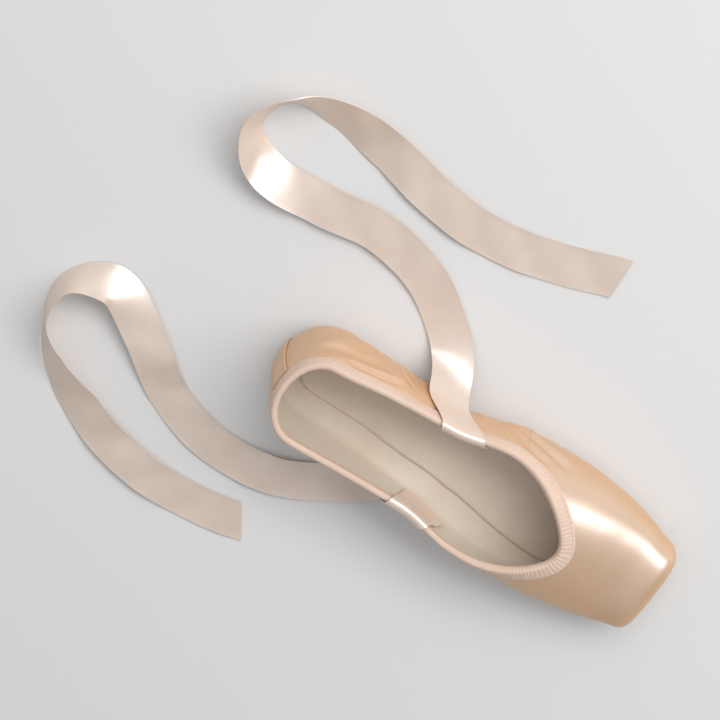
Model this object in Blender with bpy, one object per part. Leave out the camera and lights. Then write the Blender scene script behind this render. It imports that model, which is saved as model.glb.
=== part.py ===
"""A pointe shoe, standing empty on its sole: satin upper, binding, heel strip, soles and ribbons.

Metres, +Z up. The toe points along +X and the wearer's left is +Y. The origin is on the floor, under the
middle of the shoe without its ribbons. The last is straight, so the shoe fits either foot.
"""

import math
from collections import namedtuple

import bmesh
import bpy
import numpy as np
from mathutils import Vector
from mathutils.bvhtree import BVHTree

# Driving sizes of the last
SHOE_LENGTH = 0.232
BALL_WIDTH = 0.077
WAIST_WIDTH = 0.057
HEEL_WIDTH = 0.056
PLATFORM_WIDTH = 0.052
PLATFORM_HEIGHT = 0.027
VAMP_HEIGHT = 0.050
INSTEP_HEIGHT = 0.088
HEEL_RADIUS = 0.026
TIP_ROUNDING = 0.0045
HEEL_LEAN = 0.0075
ARCH_RISE = 0.0045
TOE_SPRING = 0.0012

# The top line
VAMP_LENGTH = 0.058
THROAT_DEPTH = 0.050
HEEL_HEIGHT = 0.057
SIDE_HEIGHT = 0.041

# Walls and thin pieces
BOX_WALL = 0.0026
QUARTER_WALL = 0.0016
GAP = 0.0003
CURVE_GAP = 0.0005
SOLE_THICKNESS = 0.0022
SOLE_EDGE = 0.0010
SKIVE_WIDTH = 0.0040
INSOLE_THICKNESS = 0.0020
INSOLE_EDGE = 0.0011
INSOLE_LIFT = 0.0008
BINDING_LEG = 0.0070
BINDING_THICKNESS = 0.0007
STRIP_WIDTH = 0.0130
STRIP_THICKNESS = 0.0006
STRIP_FOOT = 0.0035

# The outsole and the satin turned under it
SOLE_BALL_WIDTH = 0.054
SOLE_WAIST_WIDTH = 0.031
SOLE_HEEL_WIDTH = 0.040
SOLE_FRONT_SETBACK = 0.021
SOLE_BACK_SETBACK = 0.009
TURN_UNDER = 0.0085
OPENING_NOSE = 0.0160
SOLE_BACK_TRIM = 0.0006
SOLE_FRONT_TRIM = 0.0004
INSOLE_SETBACK = 0.0145
INSOLE_NOSE = 0.0120
INSOLE_BEVEL = 0.0014
INSOLE_LEAST_HALF = 0.0040
INSOLE_FRONT_STEP = 0.0020

# The ribbons
RIBBON_WIDTH = 0.022
RIBBON_LENGTH = 0.460
RIBBON_THICKNESS = 0.0005
RIBBON_EXIT = 0.098
RIBBON_SEWN = 0.024
RIBBON_DROP = 0.023
RIBBON_STEP_DOWN = 0.0040
RIBBON_SLANT = math.radians(22)

# How finely the faceted solids follow the last
HEEL_ROWS = 8
SIDE_ROWS = 11
THROAT_ROWS = 8
SOLE_FRONT_ROWS = 5
VAMP_ROWS = 5
TIP_ROWS = 3
PLATFORM_RINGS = (0.62, 0.28)
RIB_COLUMNS = 20
BEND_WEIGHT = 0.012
RIBBON_STEP = 0.0085

RIBBON_OFF = 2 * CURVE_GAP + BINDING_THICKNESS + RIBBON_THICKNESS / 2
ORIGIN_SHIFT = Vector((-(SHOE_LENGTH - CURVE_GAP - STRIP_THICKNESS) / 2, 0, 0))

# Sections of the last, from the heel's widest place to the tip.
# at: share of the length. width, widest and top: half width, height of the widest place, height of the top.
# corner and crown: how square the lower and the upper half of the section are (2 is an ellipse).
Section = namedtuple("Section", "at width widest top corner crown")
FLOOR_GAP = SOLE_THICKNESS + GAP
TIP_TOP = FLOOR_GAP + TOE_SPRING + PLATFORM_HEIGHT
SECTIONS = (
    Section(HEEL_RADIUS / SHOE_LENGTH, 0.50 * HEEL_WIDTH, 0.30 * HEEL_HEIGHT, INSTEP_HEIGHT, 3.4, 2.1),
    Section(0.26, 0.500 * HEEL_WIDTH, 0.31 * HEEL_HEIGHT, 0.98 * INSTEP_HEIGHT, 3.4, 2.1),
    Section(0.40, 0.500 * WAIST_WIDTH, 0.34 * HEEL_HEIGHT, 0.88 * INSTEP_HEIGHT, 3.2, 2.1),
    Section(0.54, 0.465 * BALL_WIDTH, 0.31 * HEEL_HEIGHT, 1.36 * VAMP_HEIGHT, 3.6, 2.1),
    Section(0.64, 0.495 * BALL_WIDTH, 0.29 * HEEL_HEIGHT, 1.14 * VAMP_HEIGHT, 4.0, 2.15),
    Section(0.72, 0.500 * BALL_WIDTH, 0.28 * HEEL_HEIGHT, 1.00 * VAMP_HEIGHT, 4.2, 2.2),
    Section(0.80, 0.480 * BALL_WIDTH, 0.28 * HEEL_HEIGHT, 0.87 * VAMP_HEIGHT, 4.0, 2.25),
    Section(0.86, 0.450 * BALL_WIDTH, 0.28 * HEEL_HEIGHT, 0.77 * VAMP_HEIGHT, 3.8, 2.3),
    Section(0.915, 0.407 * BALL_WIDTH, 0.28 * HEEL_HEIGHT, 0.69 * VAMP_HEIGHT, 3.6, 2.45),
    Section(0.96, 0.535 * PLATFORM_WIDTH, 0.28 * HEEL_HEIGHT, 1.07 * TIP_TOP, 3.4, 2.6),
    Section(1.00, 0.500 * PLATFORM_WIDTH, 0.50 * (FLOOR_GAP + TOE_SPRING + TIP_TOP), TIP_TOP, 3.0, 2.7),
)

# Height of the collar's edge along the side: share of the length, height.
SIDE_LINE = (
    (0.00, 1.00 * HEEL_HEIGHT),
    (0.11, 0.97 * HEEL_HEIGHT),
    (0.25, 0.84 * HEEL_HEIGHT),
    (0.38, 1.06 * SIDE_HEIGHT),
    (0.50, 1.00 * SIDE_HEIGHT),
    (0.62, 1.01 * SIDE_HEIGHT),
    (0.72, 1.05 * SIDE_HEIGHT),
)

# Half width of the outsole: share of the outsole's length from its back, half width.
SOLE_OUTLINE = (
    (0.00, 0.455 * SOLE_HEEL_WIDTH),
    (0.12, 0.500 * SOLE_HEEL_WIDTH),
    (0.25, 0.475 * SOLE_HEEL_WIDTH),
    (0.42, 0.500 * SOLE_WAIST_WIDTH),
    (0.60, 0.400 * SOLE_BALL_WIDTH),
    (0.78, 0.500 * SOLE_BALL_WIDTH),
    (0.90, 0.490 * SOLE_BALL_WIDTH),
    (1.00, 0.455 * SOLE_BALL_WIDTH),
)

# Rise of the bottom off the floor: share of the length, share of the arch's rise.
ARCH_LINE = ((0.0, 0), (0.255, 0), (0.33, 0.62), (0.395, 1), (0.46, 0.62), (0.53, 0), (1.0, 0))

# Where each ribbon lies after it leaves the quarter: x from the heel's back, y outwards from the middle of
# the shoe, height over the floor, and roll in degrees, 0 flat and 90 on its edge.
Lie = namedtuple("Lie", "x y height roll")
LEFT_LIE = (
    Lie(0.078, 0.0420, 0.0050, 4),
    Lie(0.064, 0.0560, 0.0004, 0),
    Lie(0.040, 0.0720, 0.0010, 0),
    Lie(0.008, 0.0790, 0.0030, 0),
    Lie(-0.026, 0.0740, 0.0012, 6),
    Lie(-0.056, 0.0740, 0.0, 30),
    Lie(-0.076, 0.0900, 0.0, 68),
    Lie(-0.070, 0.1110, 0.0, 74),
    Lie(-0.046, 0.1210, 0.0, 40),
    Lie(-0.012, 0.1180, 0.0, 8),
    Lie(0.022, 0.1110, 0.0028, 0),
    Lie(0.056, 0.1090, 0.0008, 0),
    Lie(0.090, 0.1160, 0.0, 0),
    Lie(0.120, 0.1270, 0.0, 0),
)
RIGHT_LIE = (
    Lie(0.077, 0.0420, 0.0050, 4),
    Lie(0.061, 0.0550, 0.0004, 0),
    Lie(0.034, 0.0680, 0.0022, 0),
    Lie(0.000, 0.0720, 0.0008, 0),
    Lie(-0.034, 0.0620, 0.0, 0),
    Lie(-0.062, 0.0400, 0.0024, -8),
    Lie(-0.088, 0.0240, 0.0, -34),
    Lie(-0.110, 0.0330, 0.0, -70),
    Lie(-0.112, 0.0560, 0.0, -74),
    Lie(-0.094, 0.0780, 0.0, -44),
    Lie(-0.066, 0.0960, 0.0, -10),
    Lie(-0.034, 0.1060, 0.0026, 0),
    Lie(0.000, 0.1080, 0.0006, 0),
    Lie(0.034, 0.1020, 0.0, 0),
    Lie(0.064, 0.0900, 0.0, 0),
)

SATIN = ("satin", (0.80, 0.60, 0.43, 1), 0.30)
BINDING_TAPE = ("binding tape", (0.84, 0.64, 0.53, 1), 0.75)
LEATHER = ("sole leather", (0.72, 0.51, 0.36, 1), 0.60)
LINING = ("lining", (0.86, 0.78, 0.68, 1), 0.85)
RIBBON_SATIN = ("ribbon satin", (0.84, 0.68, 0.57, 1), 0.28)


def through(pairs):
    """A smooth function through (at, value) pairs that never overshoots between them."""
    at, value = (np.array(column, float) for column in zip(*pairs))
    step = np.diff(at)
    slope = np.diff(value) / step
    tangent = np.zeros(len(at))
    tangent[0], tangent[-1] = slope[0], slope[-1]
    for i in range(1, len(at) - 1):
        if slope[i - 1] * slope[i] > 0:
            before, after = 2 * step[i] + step[i - 1], step[i] + 2 * step[i - 1]
            tangent[i] = (before + after) / (before / slope[i - 1] + after / slope[i])

    def value_at(x):
        x = min(max(x, at[0]), at[-1])
        i = min(int(np.searchsorted(at, x, side="right")) - 1, len(step) - 1)
        t = (x - at[i]) / step[i]
        return float(
            (1 + 2 * t) * (1 - t) ** 2 * value[i]
            + t * (1 - t) ** 2 * step[i] * tangent[i]
            + t * t * (3 - 2 * t) * value[i + 1]
            + t * t * (t - 1) * step[i] * tangent[i + 1]
        )

    return value_at


def ease(t):
    """A soft step from 0 to 1."""
    t = min(max(t, 0.0), 1.0)
    return t * t * (3 - 2 * t)


LAST_LINE = {
    name: through([(row.at * SHOE_LENGTH, getattr(row, name)) for row in SECTIONS])
    for name in ("width", "widest", "top", "corner", "crown")
}
side_line = through([(at * SHOE_LENGTH, height) for at, height in SIDE_LINE])
arch_line = through([(at * SHOE_LENGTH, ARCH_RISE * rise) for at, rise in ARCH_LINE])
SOLE_BACK = SOLE_BACK_SETBACK
SOLE_FRONT = SHOE_LENGTH - SOLE_FRONT_SETBACK
sole_line = through([(SOLE_BACK + at * (SOLE_FRONT - SOLE_BACK), half) for at, half in SOLE_OUTLINE])
THROAT_X = SHOE_LENGTH - VAMP_LENGTH
OPENING_FRONT = SOLE_FRONT - TURN_UNDER
TIP_START = SHOE_LENGTH - TIP_ROUNDING


def bottom_line(x):
    """Height of the upper's underside at x."""
    spring = TOE_SPRING * ease((x - SOLE_FRONT) / (SHOE_LENGTH - SOLE_FRONT))
    return FLOOR_GAP + arch_line(x) + spring


def wall(x):
    """Thickness of the upper's wall: the box is stiffened, the quarters are cloth."""
    return QUARTER_WALL + (BOX_WALL - QUARTER_WALL) * ease((x / SHOE_LENGTH - 0.52) / 0.16)


def sole_half(x):
    """Half width of the outsole at x, with its rounded ends."""
    front_round, back_round = 1.15 * sole_line(SOLE_FRONT), 0.95 * sole_line(SOLE_BACK)
    half = sole_line(x)
    for reach, ends in ((SOLE_FRONT - x, front_round), (x - SOLE_BACK, back_round)):
        if reach < ends:
            half *= math.sqrt(max(0.0, 1 - (1 - reach / ends) ** 2.2))
    return half


def section_point(x, angle, inset=0.0):
    """(y, z) of the last's section at x. The angle runs from 0 under the foot to pi on top."""
    width = LAST_LINE["width"](x) - inset
    widest = LAST_LINE["widest"](x)
    if angle <= math.pi / 2:
        power = 2 / LAST_LINE["corner"](x)
        depth = widest - bottom_line(x) - inset
        return width * math.sin(angle) ** power, widest - depth * max(0.0, math.cos(angle)) ** power
    power = 2 / LAST_LINE["crown"](x)
    height = LAST_LINE["top"](x) - inset - widest
    over = angle - math.pi / 2
    return width * max(0.0, math.cos(over)) ** power, widest + height * math.sin(over) ** power


def angle_under(x, half):
    """The section's angle at a half width on its underside."""
    share = min(max(half / LAST_LINE["width"](x), 0.0), 1.0)
    return math.asin(share ** (LAST_LINE["corner"](x) / 2))


def angle_at_height(x, height):
    """The section's angle at a height above its widest place."""
    widest = LAST_LINE["widest"](x)
    share = min(max((height - widest) / (LAST_LINE["top"](x) - widest), 0.0), 1.0)
    return math.pi / 2 + math.asin(share ** (LAST_LINE["crown"](x) / 2))


def angle_over(x, half):
    """The section's angle at a half width on its upper side."""
    share = min(max(half / LAST_LINE["width"](x), 0.0), 1.0)
    return math.pi / 2 + math.acos(share ** (LAST_LINE["crown"](x) / 2))


def heel_point(turn, angle):
    """A point of the rounded heel. Turn is 0 at the back and pi / 2 where the side begins."""
    y, z = section_point(HEEL_RADIUS, angle)
    widest = LAST_LINE["widest"](HEEL_RADIUS)
    if angle <= math.pi / 2:
        reach = y / LAST_LINE["width"](HEEL_RADIUS)
    else:
        reach = 1 - HEEL_LEAN / HEEL_RADIUS * ((z - widest) / (HEEL_HEIGHT - widest)) ** 2
    return Vector((HEEL_RADIUS * (1 - reach * math.cos(turn)), y * math.sin(turn), z))


def rim_angle(x):
    """The section's angle at the collar's edge, a rounded throat running into the side line."""
    if x >= THROAT_X:
        return math.pi
    side = angle_at_height(x, side_line(x))
    behind = (THROAT_X - x) / THROAT_DEPTH
    if behind >= 1:
        return side
    share = (1 - (1 - behind) ** 2.1) ** (1 / 2.1)
    return angle_over(x, section_point(x, side)[0] * share)


def rib(kind, at, whole=False):
    """The outer surface's curve at a station, from the turned-under edge up to the collar, as close points.

    kind is heel (at is the turn), body (at is x), tip (at is the angle round the tip's edge) or platform (at
    is the share to which the tip's outline has shrunk). whole runs under and over the openings too.
    """
    if kind == "heel":
        height = side_line(0) + (side_line(HEEL_RADIUS) - side_line(0)) * ease(at / (math.pi / 2))
        under = TURN_UNDER + SOLE_BACK
        low = (1 - under / HEEL_RADIUS) + (
            sole_half(HEEL_RADIUS) - TURN_UNDER - (HEEL_RADIUS - under)
        ) / HEEL_RADIUS * ease(at / (math.pi / 2))
        start = angle_under(HEEL_RADIUS, low * LAST_LINE["width"](HEEL_RADIUS))
        end = angle_at_height(HEEL_RADIUS, height + (0.014 if whole else 0))
        angles = np.linspace(0 if whole else start, end, 120)
        return [heel_point(at, a) for a in angles]
    if kind == "body":
        opening = sole_half(at) - TURN_UNDER * (1 if at < OPENING_FRONT else 2)
        start = angle_under(at, max(0.0, under_half(at))) if opening > 0 or at < OPENING_FRONT else 0
        end = rim_angle(at)
        angles = np.linspace(0, math.pi, 120) if whole else np.linspace(start, end, 120)
        return [Vector((at, *section_point(at, a))) for a in angles]
    inset = TIP_ROUNDING * (1 - math.cos(at if kind == "tip" else math.pi / 2))
    x = TIP_START + TIP_ROUNDING * math.sin(at if kind == "tip" else math.pi / 2)
    shrink = at if kind == "platform" else 1
    middle = LAST_LINE["widest"](SHOE_LENGTH)
    points = [section_point(x, a, inset) for a in np.linspace(0, math.pi, 120)]
    return [Vector((x, y * shrink, middle + (z - middle) * shrink)) for y, z in points]


def under_half(x):
    """Half width of the opening under the foot, inside the turned-under satin."""
    if x >= OPENING_FRONT:
        return 0.0
    half = sole_half(x) - TURN_UNDER
    if OPENING_FRONT - x < OPENING_NOSE:
        half *= math.sqrt(1 - (1 - (OPENING_FRONT - x) / OPENING_NOSE) ** 2)
    return half


def spaced(points, count):
    """The curve again as count + 1 points, closer together where it bends."""
    line = np.array(points, float)
    steps = np.diff(line, axis=0)
    lengths = np.maximum(np.linalg.norm(steps, axis=1), 1e-9)
    headings = steps / lengths[:, None]
    turns = np.arccos(np.clip((headings[1:] * headings[:-1]).sum(axis=1), -1, 1))
    measure = lengths + BEND_WEIGHT * np.concatenate([[0], turns])
    along = np.concatenate([[0], np.cumsum(measure)])
    at = np.linspace(0, along[-1], count + 1)
    return [Vector([float(np.interp(a, along, line[:, k])) for k in range(3)]) for a in at]


def stations():
    """The ribs of one half of the upper, from the heel's back to the middle of the platform."""
    turns = [("heel", math.pi / 2 * i / HEEL_ROWS) for i in range(HEEL_ROWS)]
    reach = THROAT_X - THROAT_DEPTH - HEEL_RADIUS
    side = [HEEL_RADIUS + reach * (i / SIDE_ROWS) ** 1.25 for i in range(SIDE_ROWS)]
    throat = [THROAT_X - THROAT_DEPTH * (1 - i / THROAT_ROWS) ** 1.7 for i in range(THROAT_ROWS)]
    ball = OPENING_FRONT - THROAT_X
    front = [OPENING_FRONT - ball * (1 - i / SOLE_FRONT_ROWS) ** 1.7 for i in range(SOLE_FRONT_ROWS)]
    vamp = np.linspace(OPENING_FRONT, TIP_START, VAMP_ROWS + 1)[:-1]
    rows = turns + [("body", float(x)) for x in (*side, *throat, *front, *vamp)]
    rows += [("tip", math.pi / 2 * i / TIP_ROWS) for i in range(TIP_ROWS + 1)]
    return rows + [("platform", share) for share in PLATFORM_RINGS] + [("platform", 0.0)]


def is_open(station):
    """Whether a rib ends at the collar's edge, and not on the vamp's middle line."""
    return station[0] == "heel" or (station[0] == "body" and station[1] <= THROAT_X)


def finish_of(name, colour, roughness):
    """The material of that name, made once."""
    material = bpy.data.materials.get(name) or bpy.data.materials.new(name)
    material.use_nodes = True
    shader = material.node_tree.nodes["Principled BSDF"]
    shader.inputs["Base Color"].default_value = colour
    shader.inputs["Roughness"].default_value = roughness
    return material


def add_piece(name, points, faces, finish):
    """A named object from points measured from the heel's back, moved to the shoe's own origin."""
    mesh = bpy.data.meshes.new(name)
    mesh.from_pydata([Vector(p) + ORIGIN_SHIFT for p in points], [], faces)
    work = bmesh.new()
    work.from_mesh(mesh)
    bmesh.ops.remove_doubles(work, verts=work.verts, dist=1e-6)
    bmesh.ops.recalc_face_normals(work, faces=work.faces)
    work.to_mesh(mesh)
    work.free()
    mesh.materials.append(finish_of(*finish))
    mesh.shade_smooth()
    mesh.set_sharp_from_angle(angle=math.radians(40))
    piece = bpy.data.objects.new(name, mesh)
    bpy.context.collection.objects.link(piece)
    return piece


def grid_faces(rows, columns, closed_rows=False, closed_columns=False):
    """Quads of a grid whose points are listed row after row."""
    faces = []
    for i in range(rows - (0 if closed_rows else 1)):
        for j in range(columns - (0 if closed_columns else 1)):
            a, b = i * columns, (i + 1) % rows * columns
            k = (j + 1) % columns
            faces.append((a + j, b + j, b + k, a + k))
    return faces


def make_tree(rows, columns, whole):
    """A search tree of the last's surface, both sides of it."""
    points = [p for station in rows for p in spaced(rib(*station, whole=whole), columns)]
    count = len(points)
    points += [Vector((p.x, -p.y, p.z)) for p in points]
    half = grid_faces(len(rows), columns + 1)
    return BVHTree.FromPolygons(points, half + [tuple(k + count for k in f) for f in half])


def fine_stations():
    """Close ribs for the last's surface."""
    turns = [("heel", math.pi / 2 * i / 24) for i in range(24)]
    body = [("body", float(x)) for x in np.linspace(HEEL_RADIUS, TIP_START, 130)[:-1]]
    tip = [("tip", math.pi / 2 * i / 8) for i in range(9)]
    return turns + body + tip


def on_last(point):
    """The nearest point of the upper's faceted outside, and the direction out of the smooth last there."""
    place, _, _, _ = UPPER_OUTSIDE.find_nearest(point)
    _, normal, _, _ = LAST.find_nearest(place)
    middle = Vector((min(max(place.x, HEEL_RADIUS), SHOE_LENGTH - 0.03), 0, 0.02))
    return place, normal if normal.dot(place - middle) > 0 else -normal


def walk(start, heading, distance):
    """Walks over the last from start, and returns the place reached and the direction out of it."""
    place, out = on_last(start)
    steps = max(1, math.ceil(distance / 0.003))
    for _ in range(steps):
        heading = (heading - out * heading.dot(out)).normalized()
        place, out = on_last(place + heading * (distance / steps))
    return place, out


def rim_point(station):
    """The collar's edge at a station."""
    return rib(*station)[-1]


def rim_loop():
    """Stations round the whole collar, and 1 or -1 for the left or the right side, from the heel's back."""
    half = [s for s in stations() if is_open(s)]
    back = [(s, -1) for s in reversed(half[1:-1])]
    return [(s, 1) for s in half] + back


def rim_frames():
    """(edge point, out of the wall, away from the opening, wall) at each station of the collar."""
    loop = rim_loop()
    edge = []
    for station, side in loop:
        p = rim_point(station)
        edge.append(Vector((p.x, side * p.y, p.z)))
    frames = []
    for i, p in enumerate(edge):
        tangent = (edge[(i + 1) % len(edge)] - edge[i - 1]).normalized()
        frames.append(rim_frame(p, tangent))
    return frames


def rim_frame(point, tangent):
    """The frame at one point of the collar's edge."""
    _, out = on_last(point)
    away = tangent.cross(out).normalized()
    if away.z > 0 and point.x < THROAT_X - 0.01 or away.x < 0 and point.x >= THROAT_X - 0.01:
        away = -away
    return point, out, away, wall(point.x)


def make_upper():
    """The upper: one hollow shell of satin over canvas and glued cloth, open at the collar and underneath."""
    rows = stations()
    points, faces = [], []
    for station in rows:
        points += spaced(rib(*station), RIB_COLUMNS)
    columns = RIB_COLUMNS + 1
    faces = grid_faces(len(rows), columns)
    points = [Vector((p.x, 0 if abs(p.y) < 1e-6 else p.y, p.z)) for p in points]
    upper = add_piece("upper", points, faces, SATIN)
    mirror = upper.modifiers.new("other side", "MIRROR")
    mirror.use_axis = (False, True, False)
    mirror.merge_threshold = 0.00005
    group = upper.vertex_groups.new(name="wall")
    for vertex in upper.data.vertices:
        x = vertex.co.x - ORIGIN_SHIFT.x
        group.add([vertex.index], wall(x) / BOX_WALL, "REPLACE")
    solidify = upper.modifiers.new("wall", "SOLIDIFY")
    solidify.thickness = BOX_WALL
    solidify.offset = -1
    solidify.vertex_group = "wall"
    solidify.use_even_offset = True
    return upper


def flat_layer(name, rows, finish, upside_down=False):
    """A thin sole: a row holds x, half width, top height, full thickness, edge thickness and bevel width."""
    points = []
    for i, (x, half, top, thick, edge, bevel) in enumerate(rows):
        ahead, behind = rows[min(i + 1, len(rows) - 1)], rows[max(i - 1, 0)]
        along = Vector((ahead[0] - behind[0], ahead[1] - behind[1])).normalized()
        inner_x, inner_half = x + along.y * bevel, half - along.x * bevel
        if i in (0, len(rows) - 1):
            inner_x = x + (bevel if i == 0 else -bevel)
        inner_half = max(inner_half, 0.35 * half)
        if upside_down:
            ring = [(inner_x, inner_half, top), (x, half, top - (thick - edge)), (x, half, top - thick)]
        else:
            ring = [(inner_x, inner_half, top - thick), (x, half, top - edge), (x, half, top)]
        points += ring + [(px, -py, pz) for px, py, pz in reversed(ring)]
    faces = grid_faces(len(rows), 6, closed_columns=True)
    faces += [tuple(range(6)), tuple(range(len(points) - 6, len(points)))]
    return add_piece(name, points, faces, finish)


def make_outsole():
    """The leather outsole, pared thin round its edge, smaller than the shoe's underside."""
    first, last = SOLE_BACK + SOLE_BACK_TRIM, SOLE_FRONT - SOLE_FRONT_TRIM
    reach = last - first
    shares = [0.5 - 0.5 * math.cos(math.pi * i / 34) for i in range(35)]
    rows = []
    for share in shares:
        x = first + reach * share
        top = bottom_line(x) - GAP
        rows.append((x, sole_half(x), top, SOLE_THICKNESS, SOLE_EDGE, SKIVE_WIDTH))
    return flat_layer("outsole", rows, LEATHER)


def make_insole():
    """The insole inside, which rests on the turned-under satin and fills the shoe's floor."""
    rows = []
    for kind, at in [s for s in stations() if s[0] in ("heel", "body")]:
        line = rib(kind, at, whole=True)
        inside = offset_inside(line)
        x_here = line[0].x if kind == "body" else HEEL_RADIUS
        level = bottom_line(x_here) + wall(x_here) + INSOLE_LIFT
        crossing = next(p for p in inside if p.z >= level - GAP and (p - line[0]).length > INSOLE_LEAST_HALF)
        rows.append((crossing.x, abs(crossing.y) - 2 * GAP, level + INSOLE_THICKNESS))
    front = SHOE_LENGTH - INSOLE_SETBACK
    rows = [row for row in rows if row[0] < front - INSOLE_FRONT_STEP and row[1] > INSOLE_LEAST_HALF]
    rounded = []
    for x, half, top in rows + [(front, rows[-1][1], rows[-1][2])]:
        nose = (front - x) / INSOLE_NOSE
        half *= 1 if nose >= 1 else 0.72 + 0.28 * math.sqrt(1 - (1 - nose) ** 2)
        rounded.append((x + GAP, half, top, INSOLE_THICKNESS, INSOLE_EDGE, INSOLE_BEVEL))
    return flat_layer("insole", rounded, LINING, upside_down=True)


def offset_inside(line):
    """A rib moved in by the wall, in its own plane."""
    inside = []
    for i, p in enumerate(line):
        before, after = line[max(i - 1, 0)], line[min(i + 1, len(line) - 1)]
        tangent = (after - before).normalized()
        _, out = on_last(p)
        out = (out - tangent * out.dot(tangent)).normalized()
        inside.append(p - out * wall(p.x))
    return inside


def make_binding():
    """The gathered tape folded over the collar's edge, with the drawstring's tunnel inside it."""
    points = []
    frames = rim_frames()
    for p, out, away, thick in frames:
        legs = [(p, out), walk(p, away, BINDING_LEG / 2), walk(p, away, BINDING_LEG)]
        skin = CURVE_GAP + BINDING_THICKNESS
        outer = [q + n * skin for q, n in reversed(legs)]
        crest = [
            p + out * (0.15 * skin) - away * skin,
            p - out * (thick + 0.15 * skin) - away * skin,
        ]
        inner = [q - n * (thick + skin) for q, n in legs]
        tunnel = [q - n * (thick + CURVE_GAP) for q, n in reversed(legs[1:])]
        tunnel += [p - out * (thick + CURVE_GAP) - away * CURVE_GAP, p + out * CURVE_GAP - away * CURVE_GAP]
        tunnel += [q + n * CURVE_GAP for q, n in legs[1:]]
        points += outer + crest + inner + tunnel
    faces = grid_faces(len(frames), len(points) // len(frames), True, True)
    return add_piece("binding", points, faces, BINDING_TAPE)


def make_heel_strip():
    """The satin strip sewn over the back seam, from the sole's edge to the binding."""
    column = spaced(rib("heel", 0.0), RIB_COLUMNS)
    end, _ = walk(column[-1], column[-2] - column[-1], BINDING_LEG + 1.5 * GAP)
    low = bottom_line(0) + STRIP_FOOT
    start = next(a.lerp(b, (low - a.z) / (b.z - a.z)) for a, b in zip(column, column[1:]) if b.z > low)
    places = [start] + [p for p in column if low + 0.001 < p.z < end.z - 0.001] + [end]
    sheets = ([], [])
    for place in places:
        for share in np.linspace(-1, 1, 7):
            q, out = on_last(place)
            if share:
                q, out = walk(place, Vector((0, share, 0)), abs(share) * STRIP_WIDTH / 2)
            sheets[0].append(q + out * CURVE_GAP)
            sheets[1].append(q + out * (CURVE_GAP + STRIP_THICKNESS))
    return closed_sheet("heel_strip", sheets, len(places), 7, SATIN)


def closed_sheet(name, sheets, rows, columns, finish):
    """A thin solid between two grids of points, cut into triangles alike so that its faces never cross."""
    count = rows * columns
    faces = []
    for a, b, c, d in grid_faces(rows, columns):
        short = (sheets[0][a] - sheets[0][c]).length <= (sheets[0][b] - sheets[0][d]).length
        for half in ((a, b, c), (a, c, d)) if short else ((a, b, d), (b, c, d)):
            faces += [half, tuple(k + count for k in reversed(half))]
    border = [j for j in range(columns)]
    border += [i * columns + columns - 1 for i in range(1, rows)]
    border += [(rows - 1) * columns + j for j in range(columns - 2, -1, -1)]
    border += [i * columns for i in range(rows - 2, 0, -1)]
    for a, b in zip(border, border[1:] + border[:1]):
        faces.append((a, b, b + count, a + count))
    return add_piece(name, sheets[0] + sheets[1], faces, finish)


def over_rim(side, shift, across_edge):
    """A place on the ribbon's path over the collar, and the direction out of it.

    shift is how far behind the ribbon's exit it lies along the edge. across_edge is measured from the top of
    the binding, negative inside the shoe and positive outside.
    """
    x = RIBBON_EXIT - shift
    ahead, behind = rim_point(("body", x + 0.001)), rim_point(("body", x - 0.001))
    edge = rim_point(("body", x))
    mirrored = [Vector((p.x, side * p.y, p.z)) for p in (edge, ahead, behind)]
    p, out, away, thick = rim_frame(mirrored[0], (mirrored[1] - mirrored[2]).normalized())
    stand_off = RIBBON_OFF
    radius = thick / 2 + stand_off
    turn = across_edge / radius
    if abs(turn) <= math.pi / 2:
        normal = out * math.sin(turn) - away * math.cos(turn)
        return p - out * (thick / 2) + normal * radius, normal
    depth = abs(across_edge) - radius * math.pi / 2
    q, n = walk(p, away, depth)
    close = CURVE_GAP * (1 if across_edge > 0 else 2) + RIBBON_THICKNESS / 2
    off = stand_off - (stand_off - close) * ease((depth - BINDING_LEG - GAP) / (RIBBON_STEP_DOWN - GAP))
    if across_edge > 0:
        return q + n * off, n
    return q - n * (thick + off), -n


def ribbon_on_shoe(side):
    """Rows of three places across the ribbon, along the collar's edge, from its sewn end down the quarter."""
    rows = []
    lean, spread = math.tan(RIBBON_SLANT), RIBBON_WIDTH / math.cos(RIBBON_SLANT)
    for edge in ribbon_stops():
        rows.append([over_rim(side, edge * lean + share * spread, edge) for share in (-0.5, 0.0, 0.5)])
    return rows


def ribbon_stops():
    """Distances from the top of the collar at which the ribbon's rows lie, closer together over the edge."""
    fold = (QUARTER_WALL / 2 + RIBBON_OFF) * math.pi / 2
    below = (BINDING_LEG / 2, BINDING_LEG + GAP, BINDING_LEG + RIBBON_STEP_DOWN)
    inside = [fold + depth for depth in (*below, (below[-1] + RIBBON_SEWN) / 2, RIBBON_SEWN)]
    outside = [fold + depth for depth in (*below, (below[-1] + RIBBON_DROP) / 2, RIBBON_DROP)]
    return [-edge for edge in reversed(inside)] + [float(e) for e in np.linspace(-fold, fold, 7)] + outside


def smooth_route(points, step):
    """Places every step along a smooth curve through the points, each with its fractional row."""
    line = []
    for i in range(1, len(points) - 2):
        before, a, b, after = points[i - 1 : i + 3]
        for k in range(24):
            t = k / 24
            line.append(
                (
                    0.5 * (2 * a + (b - before) * t + (2 * before - 5 * a + 4 * b - after) * t * t
                    + (3 * a - before - 3 * b + after) * t ** 3),
                    i - 1 + t,
                )
            )
    line.append((points[-2], len(points) - 3))
    places = np.array([p for p, _ in line])
    along = np.concatenate([[0], np.cumsum(np.linalg.norm(np.diff(places, axis=0), axis=1))])
    at = np.linspace(0, along[-1], max(2, round(along[-1] / step)))
    rows = np.array([r for _, r in line])
    found = []
    for a in at:
        place = Vector([float(np.interp(a, along, places[:, k])) for k in range(3)])
        found.append((place, float(np.interp(a, along, rows))))
    return found


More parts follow.
